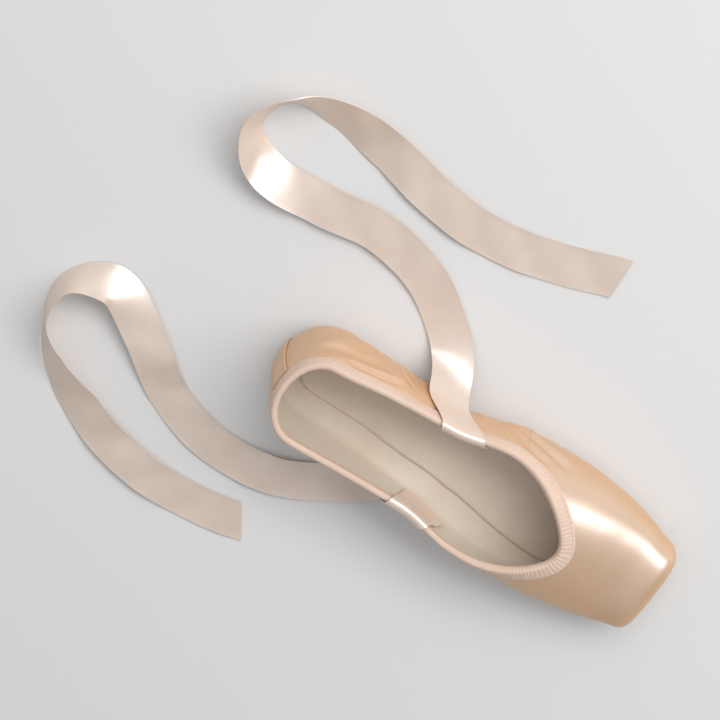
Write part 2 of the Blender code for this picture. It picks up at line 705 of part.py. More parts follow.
def ribbon_on_floor(side, shoe_rows, lie):
    """Rows of three places across the ribbon where it hangs free and lies, after the last row on the shoe."""
    centre, out = shoe_rows[-1][1]
    across = (shoe_rows[-1][2][0] - shoe_rows[-1][0][0]).normalized()
    route = [Vector((row.x, side * row.y, row.height)) for row in lie]
    points = [shoe_rows[-2][1][0], centre] + route + [2 * route[-1] - route[-2]]
    rolls = [(0, math.radians(lie[0].roll))] + [(i + 1, math.radians(row.roll)) for i, row in enumerate(lie)]
    rolls = through(rolls)
    free = RIBBON_LENGTH - RIBBON_SEWN - RIBBON_DROP
    path = smooth_route(points, RIBBON_STEP)[: 1 + round(free / RIBBON_STEP)]
    rows = []
    for i, (place, at) in enumerate(path[1:], 1):
        heading = (path[min(i + 1, len(path) - 1)][0] - path[i - 1][0]).normalized()
        flat = Vector((-heading.y, heading.x, 0)).normalized()
        roll = rolls(at)
        lying = flat * (side * math.cos(roll)) + Vector((0, 0, math.sin(roll)))
        share = ease(at / 1.6)
        width = (across * (1 - share) + lying * share).normalized()
        face = heading.cross(width).normalized()
        if i == 1 and face.dot(out) < 0 or rows and face.dot(rows[-1][1][1]) < 0:
            face = -face
        width *= RIBBON_WIDTH / max(0.8, (width - heading * width.dot(heading)).length)
        low = abs(width.z) / 2 + RIBBON_THICKNESS / 2 + GAP
        place = Vector((place.x, place.y, place.z + low if at > 1 else max(place.z, low)))
        rows.append([(place + width * s, face) for s in (-0.5, 0.0, 0.5)])
    return rows


def make_ribbon(name, side, lie):
    """One ribbon, sewn inside the quarter, over the collar and down, and lying loose on the floor."""
    shoe_rows = ribbon_on_shoe(side)
    rows = shoe_rows + ribbon_on_floor(side, shoe_rows, lie)
    half = RIBBON_THICKNESS / 2
    top, under = [], []
    for row in rows:
        for place, face in row:
            top.append(place + face * half)
            under.append(place - face * half)
    return closed_sheet(name, (top, under), len(rows), 3, RIBBON_SATIN)


def clear_scene():
    """Removes what a new scene holds."""
    for thing in list(bpy.data.objects):
        bpy.data.objects.remove(thing)


clear_scene()
LAST = make_tree(fine_stations(), 60, True)
UPPER_OUTSIDE = make_tree(stations(), RIB_COLUMNS, False)
make_upper()
make_outsole()
make_insole()
make_binding()
make_heel_strip()
make_ribbon("ribbon_left", 1, LEFT_LIE)
make_ribbon("ribbon_right", -1, RIGHT_LIE)
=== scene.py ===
"""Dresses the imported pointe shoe: satin upper, gathered binding, leather sole and loose ribbons, in a pale studio."""

import logging
import math
from dataclasses import dataclass, field
from enum import Enum
from typing import Callable, Iterable, Sequence

import bpy
import numpy as np
from mathutils import Matrix, Vector
from mathutils.bvhtree import BVHTree


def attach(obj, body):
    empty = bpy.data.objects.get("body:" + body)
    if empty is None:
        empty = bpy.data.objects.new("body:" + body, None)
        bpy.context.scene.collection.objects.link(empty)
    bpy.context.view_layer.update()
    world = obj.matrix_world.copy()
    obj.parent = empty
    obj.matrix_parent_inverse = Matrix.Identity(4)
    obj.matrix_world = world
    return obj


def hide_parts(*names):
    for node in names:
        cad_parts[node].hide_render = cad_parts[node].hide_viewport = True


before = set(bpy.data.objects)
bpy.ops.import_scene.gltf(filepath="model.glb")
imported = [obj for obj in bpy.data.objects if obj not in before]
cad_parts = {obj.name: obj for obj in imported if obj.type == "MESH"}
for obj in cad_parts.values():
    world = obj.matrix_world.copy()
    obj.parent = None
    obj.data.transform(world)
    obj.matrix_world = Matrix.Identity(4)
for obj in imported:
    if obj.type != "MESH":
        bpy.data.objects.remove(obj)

log = logging.getLogger("pointe_shoe")

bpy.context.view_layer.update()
WELD = 0.00001

Line = Callable[[float], float]
Colour = tuple[float, float, float, float]


# Curves and small sums


def ease(t: float) -> float:
    """A soft step from 0 to 1."""
    t = min(max(t, 0.0), 1.0)
    return t * t * (3 - 2 * t)


def soft_steps(t: np.ndarray) -> np.ndarray:
    """A soft step from 0 to 1, for many values at once."""
    t = np.clip(t, 0.0, 1.0)
    return t * t * (3 - 2 * t)


def through(pairs: Iterable[tuple[float, float]]) -> Line:
    """Draws a smooth line through points, which never overshoots between them.

    Args:
        pairs: The places along the line, in order, and the value at each.

    Returns:
        A function that gives the value at a place.
    """
    at, value = (np.array(column, float) for column in zip(*pairs))
    step = np.diff(at)
    slope = np.diff(value) / step
    tangent = np.zeros(len(at))
    tangent[0], tangent[-1] = slope[0], slope[-1]
    for i in range(1, len(at) - 1):
        if slope[i - 1] * slope[i] > 0:
            before, after = 2 * step[i] + step[i - 1], step[i] + 2 * step[i - 1]
            tangent[i] = (before + after) / (before / slope[i - 1] + after / slope[i])

    def value_at(x: float) -> float:
        """The value at a place."""
        x = min(max(x, at[0]), at[-1])
        i = min(int(np.searchsorted(at, x, side="right")) - 1, len(step) - 1)
        t = (x - at[i]) / step[i]
        rise = (1 + 2 * t) * (1 - t) ** 2 * value[i] + t * (1 - t) ** 2 * step[i] * tangent[i]
        return float(rise + t * t * (3 - 2 * t) * value[i + 1] + t * t * (t - 1) * step[i] * tangent[i + 1])

    return value_at


def unit(rows: np.ndarray) -> np.ndarray:
    """The vectors in the last axis, each at length 1."""
    return rows / np.maximum(np.linalg.norm(rows, axis=-1, keepdims=True), 1e-12)


def distances(curve: np.ndarray) -> np.ndarray:
    """How far along a curve each of its points is."""
    return np.concatenate([[0.0], np.cumsum(np.linalg.norm(np.diff(curve, axis=0), axis=1))])


def resample(curve: np.ndarray, at: np.ndarray, measure: np.ndarray) -> np.ndarray:
    """The curve's points where its measure takes the asked values."""
    return np.stack([np.interp(at, measure, curve[:, k]) for k in range(3)], axis=1)


# The last that the shoe is made on


@dataclass(frozen=True)
class Section:
    """One cross section of the last.

    at is the share of the length. width, widest and top are the half width, the height of the widest place and
    the height of the top. corner and crown say how square the lower and the upper half are, 2 being an ellipse.
    """

    at: float
    width: float
    widest: float
    top: float
    corner: float
    crown: float


class Station(Enum):
    """The kinds of place along the shoe that a rib of the last stands at."""

    HEEL = "heel"
    BODY = "body"
    TIP = "tip"
    PLATFORM = "platform"


Rib = tuple[Station, float]


@dataclass
class Last:
    """The form of the shoe, measured from the back of its heel along +X. It gives every piece its surface."""

    length: float = 0.232
    ball_width: float = 0.077
    waist_width: float = 0.057
    heel_width: float = 0.056
    platform_width: float = 0.052
    platform_height: float = 0.027
    vamp_height: float = 0.050
    instep_height: float = 0.088
    heel_radius: float = 0.026
    tip_rounding: float = 0.0045
    heel_lean: float = 0.0075
    arch_rise: float = 0.0045
    toe_spring: float = 0.0012
    vamp_length: float = 0.058
    throat_depth: float = 0.050
    heel_height: float = 0.057
    side_height: float = 0.041
    box_wall: float = 0.0026
    quarter_wall: float = 0.0016
    floor_gap: float = 0.0025
    turn_under: float = 0.0085
    sole_front_setback: float = 0.021
    sole_back: float = 0.009
    strip_stand: float = 0.0011
    lines: dict[str, Line] = field(default_factory=dict)

    def __post_init__(self) -> None:
        """Draws the lines that run along the shoe."""
        ball, heel, vamp, instep = self.ball_width, self.heel_height, self.vamp_height, self.instep_height
        tip = self.floor_gap + self.toe_spring + self.platform_height
        tip_middle = (self.floor_gap + self.toe_spring + tip) / 2
        sections = (
            Section(self.heel_radius / self.length, 0.5 * self.heel_width, 0.30 * heel, instep, 3.4, 2.1),
            Section(0.26, 0.5 * self.heel_width, 0.31 * heel, 0.98 * instep, 3.4, 2.1),
            Section(0.40, 0.5 * self.waist_width, 0.34 * heel, 0.88 * instep, 3.2, 2.1),
            Section(0.54, 0.465 * ball, 0.31 * heel, 1.36 * vamp, 3.6, 2.1),
            Section(0.64, 0.495 * ball, 0.29 * heel, 1.14 * vamp, 4.0, 2.15),
            Section(0.72, 0.500 * ball, 0.28 * heel, 1.00 * vamp, 4.2, 2.2),
            Section(0.80, 0.480 * ball, 0.28 * heel, 0.87 * vamp, 4.0, 2.25),
            Section(0.86, 0.450 * ball, 0.28 * heel, 0.77 * vamp, 3.8, 2.3),
            Section(0.915, 0.407 * ball, 0.28 * heel, 0.69 * vamp, 3.6, 2.45),
            Section(0.96, 0.535 * self.platform_width, 0.28 * heel, 1.07 * tip, 3.4, 2.6),
            Section(1.00, 0.500 * self.platform_width, tip_middle, tip, 3.0, 2.7),
        )
        for name in ("width", "widest", "top", "corner", "crown"):
            self.lines[name] = through((row.at * self.length, getattr(row, name)) for row in sections)
        side, high = self.side_height, self.heel_height
        heights = (
            (0.00, high), (0.11, 0.97 * high), (0.25, 0.84 * high), (0.38, 1.06 * side),
            (0.50, side), (0.62, 1.01 * side), (0.72, 1.05 * side),
        )
        self.lines["side"] = through((at * self.length, height) for at, height in heights)
        arch = ((0.0, 0.0), (0.255, 0.0), (0.33, 0.62), (0.395, 1.0), (0.46, 0.62), (0.53, 0.0), (1.0, 0.0))
        self.lines["arch"] = through((at * self.length, self.arch_rise * rise) for at, rise in arch)
        halves = (
            (0.00, 0.0182), (0.12, 0.0200), (0.25, 0.0190), (0.42, 0.0155),
            (0.60, 0.0216), (0.78, 0.0270), (0.90, 0.02646), (1.00, 0.02457),
        )
        reach = self.sole_front - self.sole_back
        self.lines["sole"] = through((self.sole_back + at * reach, half) for at, half in halves)

    @property
    def sole_front(self) -> float:
        """Where the outsole ends under the toes."""
        return self.length - self.sole_front_setback

    @property
    def throat(self) -> float:
        """Where the collar's edge comes furthest forward."""
        return self.length - self.vamp_length

    @property
    def opening_front(self) -> float:
        """Where the opening under the foot ends in front."""
        return self.sole_front - self.turn_under

    @property
    def tip_start(self) -> float:
        """Where the rounding into the platform begins."""
        return self.length - self.tip_rounding

    @property
    def shift(self) -> np.ndarray:
        """From the back of the heel to the shoe's own origin."""
        return np.array([-(self.length - self.strip_stand) / 2, 0.0, 0.0])

    def bottom(self, x: float) -> float:
        """Height of the upper's underside."""
        front = ease((x - self.sole_front) / (self.length - self.sole_front))
        return self.floor_gap + self.lines["arch"](x) + self.toe_spring * front

    def wall(self, x: float) -> float:
        """Thickness of the upper's wall, stiffened in the box."""
        return self.quarter_wall + (self.box_wall - self.quarter_wall) * ease((x / self.length - 0.52) / 0.16)

    def sole_half(self, x: float) -> float:
        """Half width of the outsole, with its rounded ends."""
        half = self.lines["sole"](x)
        front, back = 1.15 * self.lines["sole"](self.sole_front), 0.95 * self.lines["sole"](self.sole_back)
        for reach, end in ((self.sole_front - x, front), (x - self.sole_back, back)):
            if reach < end:
                half *= math.sqrt(max(0.0, 1 - (1 - reach / end) ** 2.2))
        return half

    def under_half(self, x: float) -> float:
        """Half width of the opening under the foot."""
        if x >= self.opening_front:
            return 0.0
        half, nose = self.sole_half(x) - self.turn_under, 0.016
        if self.opening_front - x < nose:
            half *= math.sqrt(1 - (1 - (self.opening_front - x) / nose) ** 2)
        return half

    def section(self, x: float, angles: np.ndarray, inset: float = 0.0) -> np.ndarray:
        """Draws half a cross section.

        Args:
            x: Where the section is cut.
            angles: Angles from 0 under the foot, over the side, to pi on top.
            inset: How much smaller than the last it is drawn.

        Returns:
            The y and z of each point.
        """
        width, widest = self.lines["width"](x) - inset, self.lines["widest"](x)
        low, high = 2 / self.lines["corner"](x), 2 / self.lines["crown"](x)
        depth = widest - self.bottom(x) - inset
        height = self.lines["top"](x) - inset - widest
        over = np.clip(angles - math.pi / 2, 0, math.pi / 2)
        under = np.clip(angles, 0, math.pi / 2)
        lower = angles <= math.pi / 2
        y = np.where(lower, width * np.sin(under) ** low, width * np.maximum(np.cos(over), 0) ** high)
        z = np.where(
            lower,
            widest - depth * np.maximum(np.cos(under), 0) ** low,
            widest + height * np.sin(over) ** high,
        )
        return np.stack([y, z], axis=1)

    def angle_under(self, x: float, half: float) -> float:
        """The angle at a half width on the underside."""
        share = min(max(half / self.lines["width"](x), 0.0), 1.0)
        return math.asin(share ** (self.lines["corner"](x) / 2))

    def angle_at_height(self, x: float, height: float) -> float:
        """The angle at a height above the widest place."""
        widest = self.lines["widest"](x)
        share = min(max((height - widest) / (self.lines["top"](x) - widest), 0.0), 1.0)
        return math.pi / 2 + math.asin(share ** (self.lines["crown"](x) / 2))

    def angle_over(self, x: float, half: float) -> float:
        """The angle at a half width on the upper side."""
        share = min(max(half / self.lines["width"](x), 0.0), 1.0)
        return math.pi / 2 + math.acos(share ** (self.lines["crown"](x) / 2))

    def rim_angle(self, x: float) -> float:
        """The angle of the collar's edge: a rounded throat that runs into the side line."""
        if x >= self.throat:
            return math.pi
        side = self.angle_at_height(x, self.lines["side"](x))
        behind = (self.throat - x) / self.throat_depth
        if behind >= 1:
            return side
        share = (1 - (1 - behind) ** 2.1) ** (1 / 2.1)
        return self.angle_over(x, float(self.section(x, np.array([side]))[0, 0]) * share)

    def heel_rib(self, turn: float, angles: np.ndarray) -> np.ndarray:
        """A rib of the rounded heel. turn is 0 at its back and pi / 2 where the side begins."""
        radius = self.heel_radius
        plan = self.section(radius, angles)
        widest = self.lines["widest"](radius)
        lean = self.heel_lean / radius * ((plan[:, 1] - widest) / (self.heel_height - widest)) ** 2
        reach = np.where(angles <= math.pi / 2, plan[:, 0] / self.lines["width"](radius), 1 - lean)
        return np.stack([radius * (1 - reach * math.cos(turn)), plan[:, 0] * math.sin(turn), plan[:, 1]], axis=1)

    def rib(self, station: Rib, whole: bool = False, count: int = 240) -> np.ndarray:
        """The curve of the last at a station, from the turned-under edge up to the collar.

        Args:
            station: The kind of place, and its x, its angle or its share of the platform.
            whole: Whether the curve runs on past both edges.
            count: How many points it has.

        Returns:
            The points, measured from the back of the heel.
        """
        kind, at = station
        if kind is Station.HEEL:
            radius, round_heel = self.heel_radius, ease(at / (math.pi / 2))
            edge = self.lines["side"](0) + (self.lines["side"](radius) - self.lines["side"](0)) * round_heel
            under = self.turn_under + self.sole_back
            wider = (self.sole_half(radius) - self.turn_under - (radius - under)) / radius
            low = (1 - under / radius) + wider * round_heel
            start = self.angle_under(radius, low * self.lines["width"](radius))
            end = self.angle_at_height(radius, edge + (0.014 if whole else 0.0))
            return self.heel_rib(at, np.linspace(0 if whole else start, end, count))
        if kind is Station.BODY:
            start = self.angle_under(at, max(0.0, self.under_half(at)))
            angles = np.linspace(0, math.pi, count) if whole else np.linspace(start, self.rim_angle(at), count)
            return np.column_stack([np.full(count, at), self.section(at, angles)])
        turn = at if kind is Station.TIP else math.pi / 2
        shrink = at if kind is Station.PLATFORM else 1.0
        outline = self.section(self.length, np.linspace(0, math.pi, count), self.tip_rounding * (1 - math.cos(turn)))
        middle = self.lines["widest"](self.length)
        x = np.full(count, self.tip_start + self.tip_rounding * math.sin(turn))
        return np.column_stack([x, outline[:, 0] * shrink, middle + (outline[:, 1] - middle) * shrink])

    def is_open(self, station: Rib) -> bool:
        """Whether a rib ends at the collar's edge, and not on the vamp's middle line."""
        return station[0] is Station.HEEL or (station[0] is Station.BODY and station[1] <= self.throat)


@dataclass
class LastSurface:
    """The last as a surface that thin pieces are laid on."""

    last: Last
    tree: BVHTree = field(init=False)

    def __post_init__(self) -> None:
        """Builds the search tree from close ribs on both sides."""
        last = self.last
        stations: list[Rib] = [(Station.HEEL, math.pi / 2 * i / 32) for i in range(33)]
        stations += [(Station.BODY, float(x)) for x in np.linspace(last.heel_radius, last.tip_start, 180)[:-1]]
        stations += [(Station.TIP, math.pi / 2 * i / 8) for i in range(9)]
        ribs = [resample(*even(last.rib(s, whole=True), 80)) for s in stations]
        points = np.array(ribs).reshape(-1, 3)
        faces = grid_faces(len(ribs), 81)
        del faces[32 * 80:33 * 80]  # the heel's last rib and the body's first one stand at the same place
        both = np.vstack([points, points * (1, -1, 1)])
        mirrored = [tuple(k + len(points) for k in face) for face in faces]
        self.tree = BVHTree.FromPolygons(both.tolist(), faces + mirrored)

    def nearest(self, point: Vector) -> tuple[Vector, Vector]:
        """The nearest place on the last and the direction out of it."""
        place, normal, _, _ = self.tree.find_nearest(point)
        x = min(max(place.x, self.last.heel_radius), self.last.length - 0.03)
        return place, normal if normal.dot(place - Vector((x, 0, 0.02))) > 0 else -normal

    def walk(self, start: Vector, heading: Vector, distance: float) -> tuple[Vector, Vector]:
        """Walks over the last.

        Args:
            start: Where the walk begins.
            heading: The way it sets out.
            distance: How far it goes.

        Returns:
            The place reached and the direction out of the last there.
        """
        place, out = self.nearest(start)
        steps = max(1, math.ceil(distance / 0.003))
        for _ in range(steps):
            heading = (heading - out * heading.dot(out)).normalized()
            place, out = self.nearest(place + heading * (distance / steps))
        return place, out


def even(curve: np.ndarray, count: int) -> tuple[np.ndarray, np.ndarray, np.ndarray]:
    """A curve, with the places and the measure that cut it into equal steps."""
    along = distances(curve)
    return curve, np.linspace(0, along[-1], count + 1), along


def grid_faces(rows: int, columns: int) -> list[tuple[int, int, int, int]]:
    """The quads of a grid whose points are listed row after row."""
    return [
        (i * columns + j, (i + 1) * columns + j, (i + 1) * columns + j + 1, i * columns + j + 1)
        for i in range(rows - 1)
        for j in range(columns - 1)
    ]


# Making meshes


def deselect() -> None:
    """Leaves edit mode and deselects everything."""
    if bpy.context.object and bpy.context.object.mode != "OBJECT":
        bpy.ops.object.mode_set(mode="OBJECT")
    bpy.ops.object.select_all(action="DESELECT")


def only(piece: bpy.types.Object) -> None:
    """Selects one piece and makes it active."""
    deselect()
    piece.select_set(True)
    bpy.context.view_layer.objects.active = piece


def lay_grid(
    name: str, points: np.ndarray, uv: np.ndarray | None = None, marks: dict[str, np.ndarray] | None = None,
) -> bpy.types.Object:
    """Adds a flat grid and lays it over the given points, as cloth over a last.

    Args:
        name: The piece's name.
        points: The places of the grid's points, rows by columns by 3.
        uv: The cloth's own coordinates in metres, rows by columns by 2.
        marks: Numbers kept with each point for the materials, rows by columns.

    Returns:
        The new piece, with its origin at the world's.
    """
    deselect()
    rows, columns = points.shape[:2]
    bpy.ops.mesh.primitive_grid_add(x_subdivisions=rows - 1, y_subdivisions=columns - 1, size=1, calc_uvs=True)
    piece = bpy.context.object
    piece.name = piece.data.name = name
    flat = np.empty(len(piece.data.vertices) * 3)
    piece.data.vertices.foreach_get("co", flat)
    flat = flat.reshape(-1, 3)
    i = np.rint((flat[:, 0] + 0.5) * (rows - 1)).astype(int)
    j = np.rint((flat[:, 1] + 0.5) * (columns - 1)).astype(int)
    piece.data.vertices.foreach_set("co", points[i, j].ravel())
    if uv is not None:
        corner = np.empty(len(piece.data.loops), int)
        piece.data.loops.foreach_get("vertex_index", corner)
        piece.data.uv_layers[0].data.foreach_set("uv", uv[i, j][corner].ravel())
    for label, values in (marks or {}).items():
        layer = piece.data.attributes.new(label, "FLOAT", "POINT")
        layer.data.foreach_set("value", values[i, j].astype(np.float32))
    piece.data.update()
    return piece


def weld(piece: bpy.types.Object, recalculate: bool = True) -> None:
    """Merges the points that lie on each other and turns the faces outwards."""
    only(piece)
    bpy.ops.object.mode_set(mode="EDIT")
    bpy.ops.mesh.select_all(action="SELECT")
    bpy.ops.mesh.remove_doubles(threshold=WELD)
    if recalculate:
        bpy.ops.mesh.normals_make_consistent(inside=False)
    bpy.ops.object.mode_set(mode="OBJECT")


def join(pieces: Sequence[bpy.types.Object], name: str) -> bpy.types.Object:
    """Joins pieces into the first of them."""
    deselect()
    for piece in pieces:
        piece.select_set(True)
    bpy.context.view_layer.objects.active = pieces[0]
    if len(pieces) > 1:
        bpy.ops.object.join()
    pieces[0].name = pieces[0].data.name = name
    return pieces[0]


def thicken(piece: bpy.types.Object, thickness: float, group: str = "", rim: int = 0, inner: int = 0) -> None:
    """Gives a cloth its thickness, inwards.

    Args:
        piece: The cloth.
        thickness: How thick it is.
        group: A vertex group that scales the thickness from place to place.
        rim: How many material slots further the cut edge's material is.
        inner: How many material slots further the inner side's material is.
    """
    only(piece)
    wall = piece.modifiers.new("wall", "SOLIDIFY")
    wall.thickness, wall.offset, wall.use_even_offset = thickness, -1, True
    wall.vertex_group, wall.material_offset, wall.material_offset_rim = group, inner, rim
    bpy.ops.object.modifier_apply(modifier=wall.name)


def smooth(piece: bpy.types.Object, degrees: float = 50) -> None:
    """Shades a piece smooth, but for its sharp edges."""
    only(piece)
    bpy.ops.object.shade_smooth_by_angle(angle=math.radians(degrees))


@dataclass(frozen=True)
class Stitch:
    """One visible stitch of thread."""

    length: float = 0.0017
    radius: float = 0.00016
    sides: int = 6

    def sew(self, name: str, places: Sequence[tuple[Vector, Vector, Vector]]) -> bpy.types.Object:
        """Models one stitch and copies it to each place.

        Args:
            name: The piece's name.
            places: Where each stitch lies, its heading, and the direction out of the cloth.

        Returns:
            All the stitches as one piece.
        """
        deselect()
        bpy.ops.mesh.primitive_uv_sphere_add(segments=self.sides, ring_count=5, radius=1)
        piece = bpy.context.object
        shape = np.array([v.co for v in piece.data.vertices])
        rings = [list(f.vertices) for f in piece.data.polygons]
        starts = [ring.index(min(ring)) for ring in rings]
        faces = sorted(tuple(ring[k:] + ring[:k]) for ring, k in zip(rings, starts))  # the primitive's order varies
        shape = np.sign(shape) * np.abs(shape) ** np.array([1, 1, 0.7])
        points, quads = [], []
        for n, (place, heading, out) in enumerate(places):
            side = heading.cross(out).normalized()
            along, up = np.array(heading.normalized()) * self.length / 2, np.array(out) * self.radius
            copy = shape[:, 2:3] * along + shape[:, 0:1] * up + shape[:, 1:2] * np.array(side) * self.radius
            points.append(copy + np.array(place))
            quads += [tuple(k + n * len(shape) for k in face) for face in faces]
        mesh = bpy.data.meshes.new(name)
        mesh.from_pydata(np.vstack(points).tolist(), [], quads)
        piece.data, piece.name = mesh, name
        smooth(piece, 80)
        return piece


# Finishes


class Cloth(Enum):
    """How a cloth is woven."""

    SATIN = "satin_weave"
    PLAIN = "plain_weave"


class Coordinates(Enum):
    """What a material's pattern follows."""

    UV = "UV"
    OBJECT = "Object"


@dataclass
class NodeKit:
    """Builds the node groups that the finishes share, and wires nodes."""

    groups: dict[str, bpy.types.NodeTree] = field(default_factory=dict)

    def start(self, name: str, inputs: dict[str, float | None], outputs: Sequence[str]) -> bpy.types.NodeTree:
        """Starts a shader node group.

        Args:
            name: The group's name.
            inputs: Each input's name with its value, or None for a vector.
            outputs: The names of the numbers that it puts out.

        Returns:
            The group's tree, with its input and output nodes named so.
        """
        tree = bpy.data.node_groups.new(name, "ShaderNodeTree")
        for label, value in inputs.items():
            kind = "NodeSocketVector" if value is None else "NodeSocketFloat"
            socket = tree.interface.new_socket(name=label, in_out="INPUT", socket_type=kind)
            if value is not None:
                socket.default_value = value
        for label in outputs:
            tree.interface.new_socket(name=label, in_out="OUTPUT", socket_type="NodeSocketFloat")
        tree.nodes.new("NodeGroupInput").name = "inputs"
        tree.nodes.new("NodeGroupOutput").name = "outputs"
        self.groups[name] = tree
        return tree

    @staticmethod
    def sum_of(tree: bpy.types.NodeTree, operation: str, a: object, b: object = None, c: object = None) -> object:
        """A math node's output, from sockets or numbers."""
        node = tree.nodes.new("ShaderNodeMath")
        node.operation = operation
        for socket, value in zip(node.inputs, (a, b, c)):
            if isinstance(value, bpy.types.NodeSocket):
                tree.links.new(value, socket)
            elif value is not None:
                socket.default_value = value
        return node.outputs[0]

    @staticmethod
    def vector_of(tree: bpy.types.NodeTree, operation: str, a: object, b: object) -> object:
        """A vector math node's output, from sockets or vectors."""
        node = tree.nodes.new("ShaderNodeVectorMath")
        node.operation = operation
        for socket, value in zip(node.inputs, (a, b)):
            if isinstance(value, bpy.types.NodeSocket):
                tree.links.new(value, socket)
            elif value is not None:
                socket.default_value = value
        return node.outputs[0]

    @staticmethod
    def noise(tree: bpy.types.NodeTree, vector: object, scale: float, detail: float, rough: float = 0.5) -> object:
        """A noise texture's value."""
        node = tree.nodes.new("ShaderNodeTexNoise")
        node.inputs["Scale"].default_value = scale
        node.inputs["Detail"].default_value = detail
        node.inputs["Roughness"].default_value = rough
        tree.links.new(vector, node.inputs["Vector"])
        return node.outputs["Fac"]

    def build(self) -> None:
        """Builds every shared group."""
        self.build_variation()
        self.build_satin()
        self.build_plain()
        self.build_grain()

    def build_variation(self) -> None:
        """Slow changes of tone, as handling and uneven dye give."""
        tree = self.start("soft_variation", {"Vector": None, "Size": 0.02, "Contrast": 1.0}, ["Value"])
        ins, outs = tree.nodes["inputs"].outputs, tree.nodes["outputs"].inputs
        scaled = self.vector_of(tree, "SCALE", ins["Vector"], None)
        turned = self.sum_of(tree, "DIVIDE", 1.0, ins["Size"])
        tree.links.new(turned, scaled.node.inputs["Scale"])
        cloud = self.noise(tree, scaled, 1.0, 3.0)
        centred = self.sum_of(tree, "SUBTRACT", cloud, 0.5)
        spread = self.sum_of(tree, "MULTIPLY", centred, ins["Contrast"])
        tree.links.new(self.sum_of(tree, "ADD", spread, 0.5), outs["Value"])

    def build_satin(self) -> None:
        """The long floats of satin: fine streaks along the thread, over a fine rib across it."""
        tree = self.start("satin_weave", {"Vector": None, "Threads": 5000.0}, ["Height", "Shade"])
        ins, outs = tree.nodes["inputs"].outputs, tree.nodes["outputs"].inputs
        scaled = self.vector_of(tree, "SCALE", ins["Vector"], None)
        tree.links.new(ins["Threads"], scaled.node.inputs["Scale"])
        drawn = self.vector_of(tree, "MULTIPLY", scaled, (1.0, 0.11, 1.0))
        streak = self.noise(tree, drawn, 1.0, 2.0)
        long_drawn = self.vector_of(tree, "MULTIPLY", scaled, (0.12, 0.012, 0.12))
        slub = self.noise(tree, long_drawn, 1.0, 1.0)
        parts = tree.nodes.new("ShaderNodeSeparateXYZ")
        tree.links.new(scaled, parts.inputs[0])
        round_thread = self.sum_of(tree, "ABSOLUTE", self.sum_of(tree, "SINE", self.sum_of(
            tree, "MULTIPLY", parts.outputs["X"], math.pi)))
        height = self.sum_of(tree, "MULTIPLY_ADD", round_thread, 0.25, streak)
        tree.links.new(self.sum_of(tree, "MULTIPLY_ADD", slub, 0.8, height), outs["Height"])
        tree.links.new(self.sum_of(tree, "MULTIPLY_ADD", slub, 0.5, self.sum_of(
            tree, "MULTIPLY", streak, 0.5)), outs["Shade"])

    def build_plain(self) -> None:
        """A plain weave, one thread over and one under."""
        tree = self.start("plain_weave", {"Vector": None, "Threads": 2200.0}, ["Height", "Shade"])
        ins, outs = tree.nodes["inputs"].outputs, tree.nodes["outputs"].inputs
        scaled = self.vector_of(tree, "SCALE", ins["Vector"], None)
        tree.links.new(self.sum_of(tree, "MULTIPLY", ins["Threads"], math.pi), scaled.node.inputs["Scale"])
        wobble = self.noise(tree, ins["Vector"], 900.0, 2.0)
        parts = tree.nodes.new("ShaderNodeSeparateXYZ")
        tree.links.new(scaled, parts.inputs[0])
        warp = self.sum_of(tree, "SINE", self.sum_of(tree, "ADD", parts.outputs["X"], wobble))
        weft = self.sum_of(tree, "SINE", self.sum_of(tree, "ADD", parts.outputs["Y"], wobble))
        crossed = self.sum_of(tree, "MULTIPLY", warp, weft)
        over = self.sum_of(tree, "MULTIPLY_ADD", crossed, 0.5, 0.5)
        tree.links.new(over, outs["Height"])
        tree.links.new(self.sum_of(tree, "MULTIPLY_ADD", wobble, 0.6, self.sum_of(
            tree, "MULTIPLY", over, 0.4)), outs["Shade"])

    def build_grain(self) -> None:
        """The pebbled grain and pores of leather."""
        tree = self.start("leather_grain", {"Vector": None, "Pebble": 0.0009}, ["Height", "Shade"])
        ins, outs = tree.nodes["inputs"].outputs, tree.nodes["outputs"].inputs
        scaled = self.vector_of(tree, "SCALE", ins["Vector"], None)
        tree.links.new(self.sum_of(tree, "DIVIDE", 1.0, ins["Pebble"]), scaled.node.inputs["Scale"])
        cells = tree.nodes.new("ShaderNodeTexVoronoi")
        cells.feature = "SMOOTH_F1"
        cells.inputs["Scale"].default_value = 1.0
        tree.links.new(scaled, cells.inputs["Vector"])
        fibre = self.noise(tree, scaled, 3.0, 4.0, 0.6)
        tree.links.new(self.sum_of(tree, "MULTIPLY_ADD", fibre, 0.5, self.sum_of(
            tree, "MULTIPLY", cells.outputs["Distance"], 0.7)), outs["Height"])
        tree.links.new(self.sum_of(tree, "MULTIPLY_ADD", fibre, 0.6, self.sum_of(
            tree, "MULTIPLY", cells.outputs["Distance"], 0.3)), outs["Shade"])


